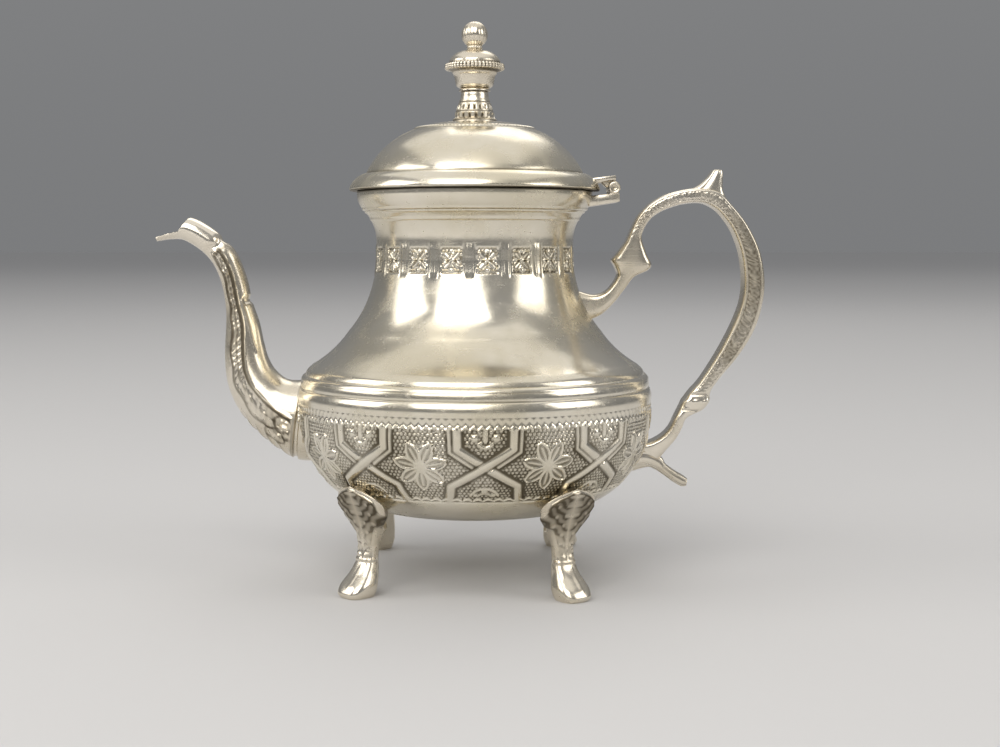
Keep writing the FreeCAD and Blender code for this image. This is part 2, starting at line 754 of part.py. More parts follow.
def lid_bezel():
    return turned("lid_bezel", [
        (BEZEL_BORE, f"{LID_SEAT} - bezel_depth"),
        (BEZEL_RADIUS, f"{LID_SEAT} - bezel_depth"),
        (BEZEL_RADIUS, f"{LID_SEAT} - solder_gap"),
        (BEZEL_BORE, f"{LID_SEAT} - solder_gap"),
    ])


def finial_stem():
    return turned("finial_stem", [
        (STUD_HOLE, STEM_FOOT),
        ("stem_radius", STEM_FOOT),
        ("stem_radius", f"{STEM_FOOT} + stem_base"),
        ("stem_neck_radius", f"{STEM_FOOT} + stem_height", "stem_hollow", "right"),
        (STUD_HOLE, f"{STEM_FOOT} + stem_height"),
    ])


def finial_cup():
    rim = f"({CUP_FOOT} + cup_rim_rise)"
    return turned("finial_cup", [
        (STUD_HOLE, CUP_FOOT),
        ("cup_foot_radius", CUP_FOOT),
        ("cup_radius", rim, "cup_hollow", "right"),
        ("cup_radius", f"{rim} + cup_rim_height", "cup_rim_height", "left"),
        ("cup_top_radius", f"{CUP_FOOT} + cup_height", "cup_round", "left"),
        (STUD_HOLE, f"{CUP_FOOT} + cup_height"),
    ])


def finial_ball():
    bore_top = f"{STUD_TOP} + stud_clearance"
    return turned("finial_ball", [
        (STUD_HOLE, BALL_FOOT),
        ("ball_foot_radius", BALL_FOOT),
        ("ball_radius", BALL_CENTRE, "ball_radius", "left"),
        ("0", f"{BALL_CENTRE} + ball_radius", "ball_radius", "left"),
        ("0", bore_top),
        (STUD_HOLE, bore_top),
    ])


def finial_stud():
    stud = rod("finial_stud", "stud_radius", f"{STUD_TOP} - {STUD_BOTTOM}")
    stud.setExpression("Placement.Base.z", bind(STUD_BOTTOM))
    return stud


def finial_washer():
    return turned("finial_washer", [
        (STUD_HOLE, f"{WASHER_TOP} - washer_thickness"),
        ("washer_radius", f"{WASHER_TOP} - washer_thickness"),
        ("washer_radius", WASHER_TOP),
        (STUD_HOLE, WASHER_TOP),
    ])


def finial_nut():
    block = doc.addObject("Part::Prism", "nut_block")
    block.Polygon = 6
    block.setExpression("Circumradius", bind("nut_radius"))
    block.setExpression("Height", bind("nut_height"))
    block.setExpression("Placement.Base.z", bind(f"{NUT_TOP} - nut_height"))
    thread = rod("nut_thread", STUD_HOLE, "2 * nut_height")
    thread.setExpression("Placement.Base.z", bind(f"{NUT_TOP} - 1.5 * nut_height"))
    return combined("Cut", "finial_nut", block, thread)


def build():
    """Make every piece and return those that are handed over."""
    envelope = pot_envelope()
    lid_trim = lid_envelope()
    bore = spout_bore()
    pieces = [
        lower_bowl(bore),
        upper_body(),
        neck_collar(),
        spout(bore, envelope),
        strainer_plate(),
        handle(envelope),
        hinge_body_leaf(envelope),
        hinge_pin(),
        hinge_lid_leaf(lid_trim),
        lid_dome(),
        lid_bezel(),
        finial_stem(),
        finial_cup(),
        finial_ball(),
        finial_stud(),
        finial_washer(),
        finial_nut(),
    ]
    for name, angle in (
        ("foot_front_left", "180 + spout_foot_angle"),
        ("foot_rear_left", "180 - spout_foot_angle"),
        ("foot_front_right", "360 - handle_foot_angle"),
        ("foot_rear_right", "handle_foot_angle"),
    ):
        pieces.append(foot(name, envelope, angle))
    return pieces


def check(pieces):
    """Stop if any object failed or any piece isn't one sound solid."""
    for item in doc.Objects:
        if {"Invalid", "Error"} & set(item.State):
            raise RuntimeError(f"{item.Label} failed: {item.State}")
    for piece in pieces:
        shape = piece.Shape
        if shape.isNull() or not shape.isValid() or len(shape.Solids) != 1:
            raise RuntimeError(f"{piece.Label} isn't one sound solid: {len(shape.Solids)} solids")


def export(pieces):
    os.makedirs("parts", exist_ok=True)
    for piece in pieces:
        piece.Shape.exportStep(f"parts/{piece.Label}.step")
        print(f"{piece.Label}: {piece.Shape.Volume:.1f} mm3")


fill_sheet()
made = build()
doc.recompute()
check(made)
export(made)
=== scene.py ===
"""A silver teapot with a hinged lid: chased bowl, swan-neck spout, scroll handle and slipper feet.

Pieces are shaped in millimetres in the pot's own frame and turned to metres when they are finished.
The spout points along -x and the handle along +x.
"""
import math

import bmesh
import bpy
import numpy as np
from mathutils import Matrix, Vector


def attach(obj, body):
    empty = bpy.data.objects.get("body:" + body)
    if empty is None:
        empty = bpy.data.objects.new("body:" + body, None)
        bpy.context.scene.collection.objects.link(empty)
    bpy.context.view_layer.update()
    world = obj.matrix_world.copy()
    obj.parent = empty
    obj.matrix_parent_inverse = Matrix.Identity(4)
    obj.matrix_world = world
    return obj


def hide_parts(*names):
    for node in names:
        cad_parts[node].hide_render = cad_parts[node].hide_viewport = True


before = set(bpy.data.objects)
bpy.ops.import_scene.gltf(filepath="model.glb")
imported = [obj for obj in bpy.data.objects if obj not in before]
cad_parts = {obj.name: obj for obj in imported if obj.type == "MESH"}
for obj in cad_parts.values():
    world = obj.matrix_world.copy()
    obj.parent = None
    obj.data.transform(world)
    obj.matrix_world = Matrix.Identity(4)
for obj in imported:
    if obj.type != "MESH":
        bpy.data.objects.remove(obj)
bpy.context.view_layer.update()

MM = 0.001
TAU = 2 * math.pi

# bowl: belly, its two rounds and the seam with the shoulder
BELLY = 63.59
BELLY_HEIGHT = 58.0
BOWL_ROUND = 33.8
UPPER_ROUND = 45.0
BOWL_FLAT = BELLY - BOWL_ROUND
SEAM = (62.0, 70.8)
WALL = 1.2
# the chased band: how deep its ground lies, and its ends along the wall from the belly's height
GROUND = 0.8
BAND_LOW = -26.9
BAND_HIGH = 5.2
# repeats of the band, its waved lines and its beads, round the pot
REPEAT = 40.0
REPEAT_START = 4.0
WAVES = 153
SCALLOPS = 99
BEADS_ROUND = 270
BEAD_PITCH = 1.22
# neck and its frieze
NECK = 35.2
FRIEZE_HEIGHT = 113.05
PANEL_REPEAT = 20.0
PANEL_START = 7.9
# the beaded ring on the lid's crown
CROWN_RING = 21.0
CROWN_PEARLS = 96
# the hole for the finial's stud
STUD_BORE = 1.55
# repeats round the finial
FLUTES = 18
CUP_RIBS = 24
BALL_RIBS = 7
# thickness of the spout's metal and top of the feet
SPOUT_WALL = 0.9
FOOT_TOP = 37.98
# the hinge's axis in the pot's upright plane
HINGE = (49.4, 138.55)


class Paint:
    """A socket of a material's node tree. Sums on it add Math nodes."""

    def __init__(self, tree, socket=None):
        self.tree = tree
        self.socket = socket

    def node(self, kind, settings, inputs, output=0):
        """Add a node, with its settings made first and its sockets then set or linked."""
        made = self.tree.nodes.new(kind)
        for name, setting in settings.items():
            setattr(made, name, setting)
        for name, given in inputs.items():
            if isinstance(given, Paint):
                self.tree.links.new(given.socket, made.inputs[name])
            else:
                made.inputs[name].default_value = given
        return Paint(self.tree, made.outputs[output] if made.outputs else None)

    def math(self, operation, *terms):
        return self.node("ShaderNodeMath", {"operation": operation}, dict(enumerate(terms)))

    def __add__(self, other):
        return self.math("ADD", self, other)

    def __sub__(self, other):
        return self.math("SUBTRACT", self, other)

    def __rsub__(self, other):
        return self.math("SUBTRACT", other, self)

    def __mul__(self, other):
        return self.math("MULTIPLY", self, other)

    __radd__ = __add__
    __rmul__ = __mul__

    def between(self, low, high):
        """0 below low, 1 above high and smooth in between."""
        settings = {"interpolation_type": "SMOOTHSTEP"}
        return self.node("ShaderNodeMapRange", settings, {"Value": self, "From Min": low, "From Max": high})

    def mixed(self, first, second):
        """A colour from first to second as this value goes from 0 to 1."""
        settings = {"data_type": "RGBA"}
        return self.node("ShaderNodeMix", settings, {0: self, 6: first, 7: second}, 2)


def metal(name, bright, toned, patina_and_shade_colour, sheen, streaks):
    """Worn silver: brighter and toned patches, fine scratches, and a dark colour in the hollows that is
    partly patina and partly painted shade.
    """
    material = bpy.data.materials.new(name)
    material.use_nodes = True
    tree = material.node_tree
    tree.nodes.clear()
    paint = Paint(tree)
    place = paint.node("ShaderNodeTexCoord", {}, {}, "Object")
    hollow = paint.node("ShaderNodeAttribute", {"attribute_name": "hollow"}, {}, "Fac")

    def noise(scale, detail, where=place):
        inputs = {"Vector": where, "Scale": scale, "Detail": detail, "Roughness": 0.6}
        return paint.node("ShaderNodeTexNoise", {}, inputs)

    stretched = paint.node("ShaderNodeMapping", {}, {"Vector": place, "Scale": (9.0, 9.0, 620.0)})
    crossed = paint.node("ShaderNodeMapping", {}, {
        "Vector": place, "Rotation": (0.7, 0.4, 0.5), "Scale": (14.0, 900.0, 900.0),
    })
    clouds = noise(24.0, 4.0).between(0.36, 0.66)
    haze = noise(95.0, 5.0).between(0.42, 0.7)
    specks = noise(1500.0, 3.0)
    turning = noise(1.0, 3.0, stretched)
    scratches = noise(1.0, 2.0, crossed).between(0.6, 0.72)
    # The hollow attribute darkens the colour: partly patina, partly painted shade standing in for occlusion
    # in recesses and under parts.
    painted_shade_and_patina = hollow * (0.62 + 0.5 * clouds)
    dark = painted_shade_and_patina.between(0.06, 0.95)
    clean = clouds.mixed(bright, toned)
    colour = dark.mixed(clean, patina_and_shade_colour)
    worn = 0.1 * haze + 0.07 * clouds + 0.08 * scratches + streaks * turning
    rough = sheen + worn + 0.22 * dark
    grain = 0.5 * specks + 0.5 * turning * streaks * 6.0 - 0.35 * scratches
    bump = paint.node("ShaderNodeBump", {}, {"Strength": 0.35, "Distance": 0.00003, "Height": grain})
    shader = paint.node("ShaderNodeBsdfPrincipled", {}, {
        "Base Color": colour, "Metallic": 1.0, "Roughness": rough, "Normal": bump,
    })
    paint.node("ShaderNodeOutputMaterial", {}, {"Surface": shader})
    return material


SILVER = metal(
    "silver_plate",
    bright=(0.85, 0.80, 0.69, 1),
    toned=(0.74, 0.68, 0.54, 1),
    patina_and_shade_colour=(0.13, 0.11, 0.075, 1),
    sheen=0.12, streaks=0.08,
)
CAST = metal(
    "cast_silver",
    bright=(0.86, 0.80, 0.69, 1),
    toned=(0.72, 0.65, 0.52, 1),
    patina_and_shade_colour=(0.12, 0.10, 0.07, 1),
    sheen=0.17, streaks=0.0,
)
BRASS = metal(
    "inner_brass",
    bright=(0.72, 0.58, 0.34, 1),
    toned=(0.60, 0.47, 0.27, 1),
    patina_and_shade_colour=(0.10, 0.07, 0.03, 1),
    sheen=0.26, streaks=0.05,
)


def ease(low, high, value):
    """0 below low, 1 above high and smooth in between."""
    share = np.clip((value - low) / (high - low), 0, 1)
    return share * share * (3 - 2 * share)


def ridge(away, half):
    """A half-round bead across the distance away, 1 high."""
    return np.sqrt(np.clip(1 - (away / half) ** 2, 0, 1))


def crown(away, half):
    """A low rounded rib across the distance away, 1 high."""
    return np.clip(1 - (away / half) ** 2, 0, 1)


def roof(away, half):
    """A rib with two slanted sides and a soft top across the distance away, 1 high."""
    return np.clip(1 - np.abs(away / half) ** 1.35, 0, 1)


def to_line(across, up, corners):
    """Distance to a line of corners."""
    nearest = np.full(across.shape, 1e6)
    for (a0, u0), (a1, u1) in zip(corners, corners[1:]):
        run, rise = a1 - a0, u1 - u0
        share = np.clip(((across - a0) * run + (up - u0) * rise) / (run * run + rise * rise), 0, 1)
        nearest = np.minimum(nearest, np.hypot(across - a0 - share * run, up - u0 - share * rise))
    return nearest


def to_arc(across, up, centre, radius, low, high):
    """Distance to an arc between two angles in degrees."""
    aside, above = across - centre[0], up - centre[1]
    angle = np.clip(np.degrees(np.arctan2(above, aside)) % 360, low, high)
    spot = np.radians(angle)
    return np.hypot(aside - radius * np.cos(spot), above - radius * np.sin(spot))


def bearing(spots):
    """Angle about the pot's axis from the front, in radians."""
    return np.arctan2(spots[:, 0], -spots[:, 1])


def off_axis(spots):
    """Distance from the pot's axis."""
    return np.hypot(spots[..., 0], spots[..., 1])


def beads(angle, up, radius, around, pitch):
    """Small domes in brick rows, a little uneven, and 1 high."""
    row = np.floor(up / pitch)
    turn = angle / 360 * around + 0.5 * (row % 2)
    column = np.floor(turn)
    uneven = np.sin(row * 12.9898 + column * 78.233) * 43758.5453
    uneven = uneven - np.floor(uneven)
    across = (turn - column - 0.5 + 0.16 * (uneven - 0.5)) * TAU * radius / around
    rise = up - (row + 0.5 + 0.14 * (uneven - 0.5)) * pitch
    return ridge(np.hypot(across, rise), pitch * (0.5 + 0.06 * uneven))


def flower(across, up, size, petals, turn, slim):
    """A chased flower: its domed and outlined petals, and how far its ground is cleared of beads."""
    reach = np.hypot(across, up)
    step = 360 / petals
    angle = (np.degrees(np.arctan2(up, across)) - turn + step / 2) % step - step / 2
    along = reach * np.cos(np.radians(angle))
    aside = np.abs(reach * np.sin(np.radians(angle)))
    share = np.clip((along - 0.1 * size) / (0.9 * size), 0, 1)
    half = slim * size * np.sin(math.pi * share**1.1) ** 0.75
    inside = (along > 0.1 * size) & (along < size)
    outline = np.where(inside, ridge(half - aside, 0.06 * size), 0)
    midrib = np.where(inside & (share < 0.8), ridge(aside, 0.05 * size), 0)
    dome = np.where(inside, crown(aside, np.maximum(half, 0.01)), 0)
    eye = ridge(reach, 0.13 * size)
    lines = np.maximum.reduce([outline, 0.32 * dome + 0.4 * midrib, eye])
    return lines, ((aside < half + 0.07 * size) & (reach < 1.03 * size)) | (reach < 0.16 * size)


def bowl_wall(height):
    """The bowl's outside radius at a height."""
    lower = BOWL_FLAT + np.sqrt(np.clip(BOWL_ROUND**2 - (height - BELLY_HEIGHT) ** 2, 0, None))
    upper = BELLY - UPPER_ROUND + np.sqrt(np.clip(UPPER_ROUND**2 - (height - BELLY_HEIGHT) ** 2, 0, None))
    return np.where(height < BELLY_HEIGHT, lower, upper)


def seat_on_bowl(points, depth, side, held=True):
    """Move held points that lie inside the bowl along x, to a depth under its outside."""
    wall = bowl_wall(points[..., 2]) - depth
    inner = (off_axis(points) < wall) & held
    seated = side * np.sqrt(np.clip(wall**2 - points[..., 1] ** 2, 0, None))
    points[..., 0] = np.where(inner, seated, points[..., 0])


def bowl_relief(spots):
    """The chased band of crossed straps and flowers, and the two mouldings over it."""
    height = spots[:, 2]
    wall = bowl_wall(height)
    outside = off_axis(spots) > wall - WALL / 2
    angle = np.degrees(bearing(spots))
    drop = np.clip((height - BELLY_HEIGHT) / BOWL_ROUND, -1, 0)
    up = np.where(height < BELLY_HEIGHT, BOWL_ROUND * np.arcsin(drop), height - BELLY_HEIGHT)
    half = REPEAT / 2
    across = np.radians((angle - REPEAT_START + half) % REPEAT - half) * wall
    beside = np.radians((angle - REPEAT_START) % REPEAT - half) * wall
    waved = 0.5 - 0.5 * np.sin(np.radians(angle) * WAVES)
    scallop = 0.95 * np.abs(np.sin(np.radians(angle) * SCALLOPS / 2))
    top_wave = up - 4.5 + waved
    band = ease(BAND_LOW - 0.4, BAND_LOW + 0.2, up) * (1 - ease(-0.1, 0.5, top_wave))

    strap = ((-11.4, -26.4), (-11.0, -19.4), (9.2, -5.3), (9.4, 1.2))
    over = to_line(across, up, strap)
    under = to_line(-across, up, strap)
    fillet = ((4.4, -11.6), (11.7, -6.4), (12.1, 1.2))
    outer = np.minimum(to_line(across, up, fillet), to_line(-across, up, fillet))
    straps = np.maximum(roof(over, 1.95), roof(under, 1.95) * ease(1.7, 2.4, over))
    straps = np.maximum(straps, 0.65 * ridge(outer, 0.8))
    near_straps = np.minimum(np.minimum(over, under), outer + 1.0)

    petals, cleared = flower(beside, up + 11.8, 9.3, 7, 64.3, 0.205)
    aside = np.abs(across)
    trefoil = np.maximum.reduce([
        ridge(np.hypot(aside - 3.6, up + 1.6), 1.3),
        ridge(to_line(across, up, ((0, 0.8), (0, -2.4))), 0.9),
        0.85 * ridge(to_arc(across, up, (0, -1.9), 2.8, 215, 325), 0.6),
        0.8 * ridge(np.hypot(aside - 1.9, up - 0.4), 0.7),
    ])
    eye = np.maximum.reduce([
        ridge(np.hypot(across, up + 21.6), 1.2),
        0.9 * ridge(np.hypot(aside - 3.0, up + 23.4), 0.9),
        0.85 * ridge(to_arc(across, up, (0, -25.2), 4.8, 20, 160), 0.6),
        0.7 * ridge(to_arc(across, up, (0, -25.2), 2.6, 30, 150), 0.5),
    ])
    marks = np.maximum(trefoil, eye)
    waves = np.maximum.reduce([
        ridge(top_wave, 0.5),
        ridge(up - 2.2 + waved, 0.5),
        ridge(up + 26.4 - scallop, 0.5),
    ])
    free = ease(1.9, 2.4, near_straps) * ~cleared * ease(0.05, 0.0, marks)
    free = free * (1 - ease(1.0, 1.5, up)) * ease(-25.6, -25.1, up)
    stipple = beads(angle, up, BELLY, BEADS_ROUND, BEAD_PITCH) * free
    raised = np.maximum.reduce([straps, 0.8 * petals, 0.85 * marks, 0.95 * waves, 0.5 * stipple])
    shelf = ease(1.0, 1.5, up)
    raised = np.maximum(raised, 0.6 * shelf)
    lip = height - BELLY_HEIGHT - BAND_HIGH
    first = 0.42 * np.sin(math.pi * np.clip(lip / 4.7, 0, 1)) ** 0.7
    second = 0.42 * np.sin(math.pi * np.clip((lip - 4.9) / 4.4, 0, 1)) ** 0.7
    crease = ridge(lip - 4.8, 0.45)
    rolls = np.maximum(first, second) - 0.25 * crease
    rise = np.where(outside, band * GROUND * (raised - 1) + rolls - 0.02, 0)
    # Painted shade and patina: the sunk ground, the grooves beside the straps and the crease between the
    # mouldings are darkened, and the inside a little.
    groove = ridge(near_straps - 1.9, 0.9)
    hollow = band * np.clip(0.9 - 1.25 * raised + 0.3 * groove * (1 - shelf), 0, 1) + 0.6 * crease
    return rise, np.where(outside, hollow, 0.15)


def neck_relief(spots):
    """The frieze of square flowers between half-round pilasters."""
    angle = np.degrees(bearing(spots))
    height = spots[:, 2]
    outside = off_axis(spots) > NECK - 0.5
    half = PANEL_REPEAT / 2
    across = np.radians((angle - PANEL_START + half) % PANEL_REPEAT - half) * NECK
    beside = np.radians((angle - PANEL_START) % PANEL_REPEAT - half) * NECK
    up = height - FRIEZE_HEIGHT
    edge = np.maximum(np.abs(across) - 3.6, np.abs(up) - 4.5)
    panel = 1 - ease(-0.4, 0.1, edge)
    petals, cleared = flower(across, up, 4.3, 4, 45.0, 0.3)
    to_bud = np.minimum(np.hypot(np.abs(across) - 2.6, up), np.hypot(across, np.abs(up) - 3.2))
    buds = ridge(to_bud, 0.8)
    stipple = beads(angle, up, NECK, 160, 1.3) * ~cleared * ease(0.05, 0.0, buds)
    pattern = np.maximum.reduce([petals, 0.8 * buds, 0.45 * stipple])
    upright = 1 - ease(3.8, 6.4, np.abs(up))
    beading = np.abs(beside)
    pillar = np.maximum(0.55 * crown(beside, 1.5), crown(beading - 0.8, 0.6)) * upright
    seams = ridge(beading - 1.75, 0.45) * upright
    fillet = crown(height - 127.3, 0.45) + crown(height - 129.9, 0.4)
    rise = panel * (0.75 * pattern - 0.65) + 0.3 * pillar - 0.12 * seams + 0.3 * fillet
    # Painted shade and patina: the sunk panel ground and the seams beside the pilasters are darkened, and
    # the inside a little.
    hollow = panel * np.clip(0.95 - 1.25 * pattern, 0, 1) + 0.5 * seams
    return np.where(outside, rise, 0), np.where(outside, np.clip(hollow, 0, 1), 0.1)


def lid_relief(spots):
    """The low beaded ring round the crown and the crease at the dome's foot."""
    radius = off_axis(spots)
    outside = spots[:, 2] > 158.6
    pearl = np.abs(np.sin(bearing(spots) * CROWN_PEARLS / 2))
    ring = ridge(radius - CROWN_RING, 0.75) * (0.35 + 0.65 * pearl)
    groove = np.maximum(ridge(radius - CROWN_RING + 1.1, 0.4), ridge(radius - CROWN_RING - 1.2, 0.4))
    foot = ridge(np.hypot(radius - 38.8, spots[:, 2] - 143.6), 0.8)
    rise = np.where(outside, 0.45 * ring - 0.18 * groove, -0.2 * foot)
    # Painted shade: the flange's underside and the crease at the dome's foot are darkened; the grooves and
    # the gaps between the pearls are darkened as patina and painted shade.
    under = 1 - ease(137.5, 138.1, spots[:, 2])
    shade = np.maximum(0.7 * foot, under)
    return rise, np.clip(np.where(outside, 0.7 * groove + 0.4 * ring * (1 - pearl), shade), 0, 1)


def collar_relief(spots):
    """A fine fillet at the collar's foot, and a painted shadow of the lid along the collar's top."""
    outside = off_axis(spots) > 38.5
    fillet = crown(spots[:, 2] - 130.9, 0.45) * outside
    return 0.3 * fillet, 0.9 * ease(136.3, 137.1, spots[:, 2])


def stem_relief(spots):
    """Two rows of small flutes and a beaded ring at the finial's foot."""
    angle = bearing(spots)
    height = spots[:, 2]
    low = ridge(height - 163.9, 1.0) * np.clip(np.sin(angle * FLUTES), 0, 1)
    high = ridge(height - 167.0, 0.9) * np.clip(np.sin(angle * FLUTES + 1.5), 0, 1)
    flutes = np.maximum(low, high)
    rings = np.maximum.reduce([ridge(height - level, 0.35) for level in (162.4, 165.6, 168.9, 172.4)])
    # The flutes and rings are darkened as patina and painted shade.
    return -0.6 * flutes - 0.22 * rings, np.clip(flutes + 0.7 * rings, 0, 1)


def cup_relief(spots):
    """Short upright ridges round the cup's rim, with a dark step under it."""
    angle = bearing(spots)
    height = spots[:, 2]
    rim = ridge(height - 181.3, 1.35)
    ribs = np.abs(np.sin(angle * CUP_RIBS)) ** 0.7
    step = np.maximum(ridge(height - 179.6, 0.5), ridge(height - 182.7, 0.35))
    # The gaps between the ribs and the two steps are darkened as patina and painted shade.
    return rim * 0.55 * (ribs - 1) - 0.3 * step, np.clip(rim * (1 - ribs) * 1.1 + 0.8 * step, 0, 1)


def ball_relief(spots):
    """Ribs from pole to pole."""
    angle = bearing(spots)
    reach = ease(0.6, 2.4, off_axis(spots))
    ribs = np.abs(np.sin(angle * BALL_RIBS)) ** 0.6
    # The gaps between the ribs are darkened as patina and painted shade.
    return reach * 0.12 * (ribs - 1), 0.7 * reach * np.clip(0.6 - ribs, 0, 1)


def arc(start, end, radius, left, count):
    """Points after start along the short arc to end, that turns left or right."""
    run, rise = end[0] - start[0], end[1] - start[1]
    chord = math.hypot(run, rise)
    side = math.sqrt(radius**2 - chord**2 / 4) * (1 if left else -1) / chord
    middle = (start[0] + end[0]) / 2 - side * rise, (start[1] + end[1]) / 2 + side * run
    first = math.atan2(start[1] - middle[1], start[0] - middle[0])
    last = math.atan2(end[1] - middle[1], end[0] - middle[0])
    turn = (last - first + math.pi) % TAU - math.pi
    angles = [first + turn * step / count for step in range(1, count + 1)]
    return [(middle[0] + radius * math.cos(a), middle[1] + radius * math.sin(a)) for a in angles]


def line(start, end, count):
    """Points after start along a straight run to end."""
    return [tuple(np.array(start) + (np.array(end) - start) * step / count) for step in range(1, count + 1)]


def profile(start, *runs):
    """Points from start through straight (end, count) and round (end, radius, left, count) runs."""
    points = [start]
    for run in runs:
        points += line(points[-1], *run) if len(run) == 2 else arc(points[-1], *run)
    return points


def lathe(points, steps, begin=0.0, sweep=TAU):
    """A surface turned about the pot's axis from (radius, height) points, as an eighth and its copies."""
    shape = bmesh.new()
    spots = [shape.verts.new((r * math.cos(begin), r * math.sin(begin), z)) for r, z in points]
    edges = [shape.edges.new(pair) for pair in zip(spots, spots[1:])]
    eighth = sweep / 8
    bmesh.ops.spin(
        shape, geom=spots + edges, cent=(0, 0, 0), axis=(0, 0, 1), dvec=(0, 0, 0),
        angle=eighth, steps=steps // 8,
    )
    for turn in (eighth, 2 * eighth, 4 * eighth):
        copied = bmesh.ops.duplicate(shape, geom=shape.verts[:] + shape.edges[:] + shape.faces[:])
        moved = [item for item in copied["geom"] if isinstance(item, bmesh.types.BMVert)]
        bmesh.ops.rotate(shape, verts=moved, matrix=Matrix.Rotation(turn, 3, "Z"))
    bmesh.ops.remove_doubles(shape, verts=shape.verts, dist=0.0005)
    return shape


def skin(rows, columns, place):
    """A grid laid out by place, which takes shares along and around and returns points and hollows."""
    shape = bmesh.new()
    bmesh.ops.create_grid(shape, x_segments=rows, y_segments=columns, size=0.5)
    layer = shape.verts.layers.float.new("hollow")
    flat = np.array([spot.co for spot in shape.verts])
    order = np.lexsort((flat[:, 1], flat[:, 0]))
    along = (flat[order, 0] + 0.5).reshape(rows + 1, columns + 1)
    around = (flat[order, 1] + 0.5).reshape(rows + 1, columns + 1)
    points, hollow = place(along, around)
    spots = list(shape.verts)
    for index, point, depth in zip(order, points.reshape(-1, 3), hollow.ravel()):
        spots[index].co = point
        spots[index][layer] = depth
    bmesh.ops.remove_doubles(shape, verts=shape.verts, dist=0.002)
    return shape


def close_ends(shape):
    """Cap the open ends of a skin."""
    bmesh.ops.holes_fill(shape, edges=[edge for edge in shape.edges if edge.is_boundary], sides=0)


def faced(points):
    """Outward normals of a skin that closes on itself around."""
    along = np.gradient(points, axis=0)
    around = np.gradient(points, axis=1)
    wrapped = points[:, 1] - points[:, -2]
    around[:, 0] = wrapped
    around[:, -1] = wrapped
    normals = np.cross(along, around)
    return normals / np.maximum(np.linalg.norm(normals, axis=2, keepdims=True), 1e-9)


def through(rows, shares):
    """Rows of numbers joined by smooth curves and read at shares of the way along."""
    rows = np.array(rows, float)
    spot = np.clip(shares, 0, 1) * (len(rows) - 1)
    index = np.minimum(spot.astype(int), len(rows) - 2)
    share = (spot - index)[..., None]
    before, first = rows[np.maximum(index - 1, 0)], rows[index]
    second, after = rows[index + 1], rows[np.minimum(index + 2, len(rows) - 1)]
    pull, push = (second - before) / 2, (after - first) / 2
    bend = 2 * (first - second) + pull + push
    lean = 3 * (second - first) - 2 * pull - push
    return first + share * (pull + share * (lean + share * bend))


def finish(name, shape, body, paint, nodes, relief=None, crisp=50):
    """Turn a shape into a piece that rides on its body and stands for its nodes."""
    bmesh.ops.recalc_face_normals(shape, faces=shape.faces)
    mesh = bpy.data.meshes.new(name)
    shape.to_mesh(mesh)
    shape.free()
    if relief:
        count = len(mesh.vertices)
        spots, normals = np.empty(count * 3), np.empty(count * 3)
        mesh.vertices.foreach_get("co", spots)
        mesh.vertex_normals.foreach_get("vector", normals)
        rise, hollow = relief(spots.reshape(-1, 3))
        mesh.vertices.foreach_set("co", spots + normals * np.repeat(rise, 3))
        mesh.attributes.new("hollow", "FLOAT", "POINT").data.foreach_set("value", hollow)
    mesh.transform(Matrix.Scale(MM, 4))
    mesh.shade_smooth()
    mesh.set_sharp_from_angle(angle=math.radians(crisp))
    mesh.materials.append(paint)
    piece = bpy.data.objects.new(name, mesh)
    bpy.context.scene.collection.objects.link(piece)
    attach(piece, body)
    if nodes:
        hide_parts(*nodes)
    return piece


def wall_at(up):
    """A point of the bowl's outside, so many millimetres along it from the belly's height."""
    height = BELLY_HEIGHT + (BOWL_ROUND * math.sin(up / BOWL_ROUND) if up < 0 else up)
    return float(bowl_wall(np.array(height))), height


def make_bowl():
    """The bowl in a front and a rear half, each a closed shell."""
    floor = BELLY_HEIGHT - BOWL_ROUND
    low = wall_at(BAND_LOW - 0.6)
    outside = profile((0.0, floor), ((BOWL_FLAT, floor), 4), (low, BOWL_ROUND, True, 7))
    rows = 122
    top = SEAM[1] - BELLY_HEIGHT
    outside += [wall_at(BAND_LOW - 0.6 + (top - BAND_LOW + 0.6) * row / rows) for row in range(1, rows + 1)]
    rim = SEAM[0] - WALL, SEAM[1]
    inside = profile(
        rim,
        ((BELLY - WALL, BELLY_HEIGHT), UPPER_ROUND - WALL, False, 3),
        ((BOWL_FLAT, floor + WALL), BOWL_ROUND - WALL, False, 10),
        ((0.0, floor + WALL), 3),
    )
    for name, begin in (("bowl_front", math.pi), ("bowl_rear", 0.0)):
        shape = lathe(outside + inside, 600, begin, math.pi)
        close_ends(shape)
        finish(name, shape, "pot", SILVER, ["lower_bowl"], bowl_relief)


def make_upper_body():
    """Shoulder and hollow neck, with the skirt that laps inside the bowl."""
    points = profile(
        (60.75, 69.0),
        ((60.75, 70.83), 1),
        ((62.35, 70.83), 1),
        ((61.1, 72.5), 2.2, True, 8),
        ((60.7, 72.55), 1),
        ((59.2, 75.0), 3.4, True, 7),
        ((58.3, 75.8), 1),
        ((45.1, 88.0), 41.0, False, 18),
        ((36.4, 105.5), 40.5, False, 14),
        ((NECK, 113.0), 40.5, False, 22),
        ((NECK, 120.0), 20),
        ((39.3, 130.2), 15.0, False, 34),
        ((37.2, 130.2), 1),
        ((34.0, 119.0), 18.4, True, 5),
        ((34.0, 113.0), 1),
        ((44.25, 87.15), 41.7, True, 6),
        ((57.45, 74.95), 42.2, True, 5),
        ((59.55, 70.85), 1),
        ((59.55, 69.0), 1),
        ((60.75, 69.0), 1),
    )
    shape = lathe(points, 640)
    finish("shoulder_and_neck", shape, "pot", SILVER, ["upper_body"], neck_relief)


def make_collar():
    """The flared ring on the neck that the lid sits on."""
    points = profile(
        (36.6, 130.25),
        ((39.4, 130.25), 2),
        ((42.0, 135.75), 9.0, True, 26),
        ((42.0, 137.15), 3),
        ((36.6, 137.15), 3),
        ((36.6, 130.25), 2),
    )
    shape = lathe(points, 240)
    finish("mouth_collar", shape, "pot", SILVER, ["neck_collar"], collar_relief)


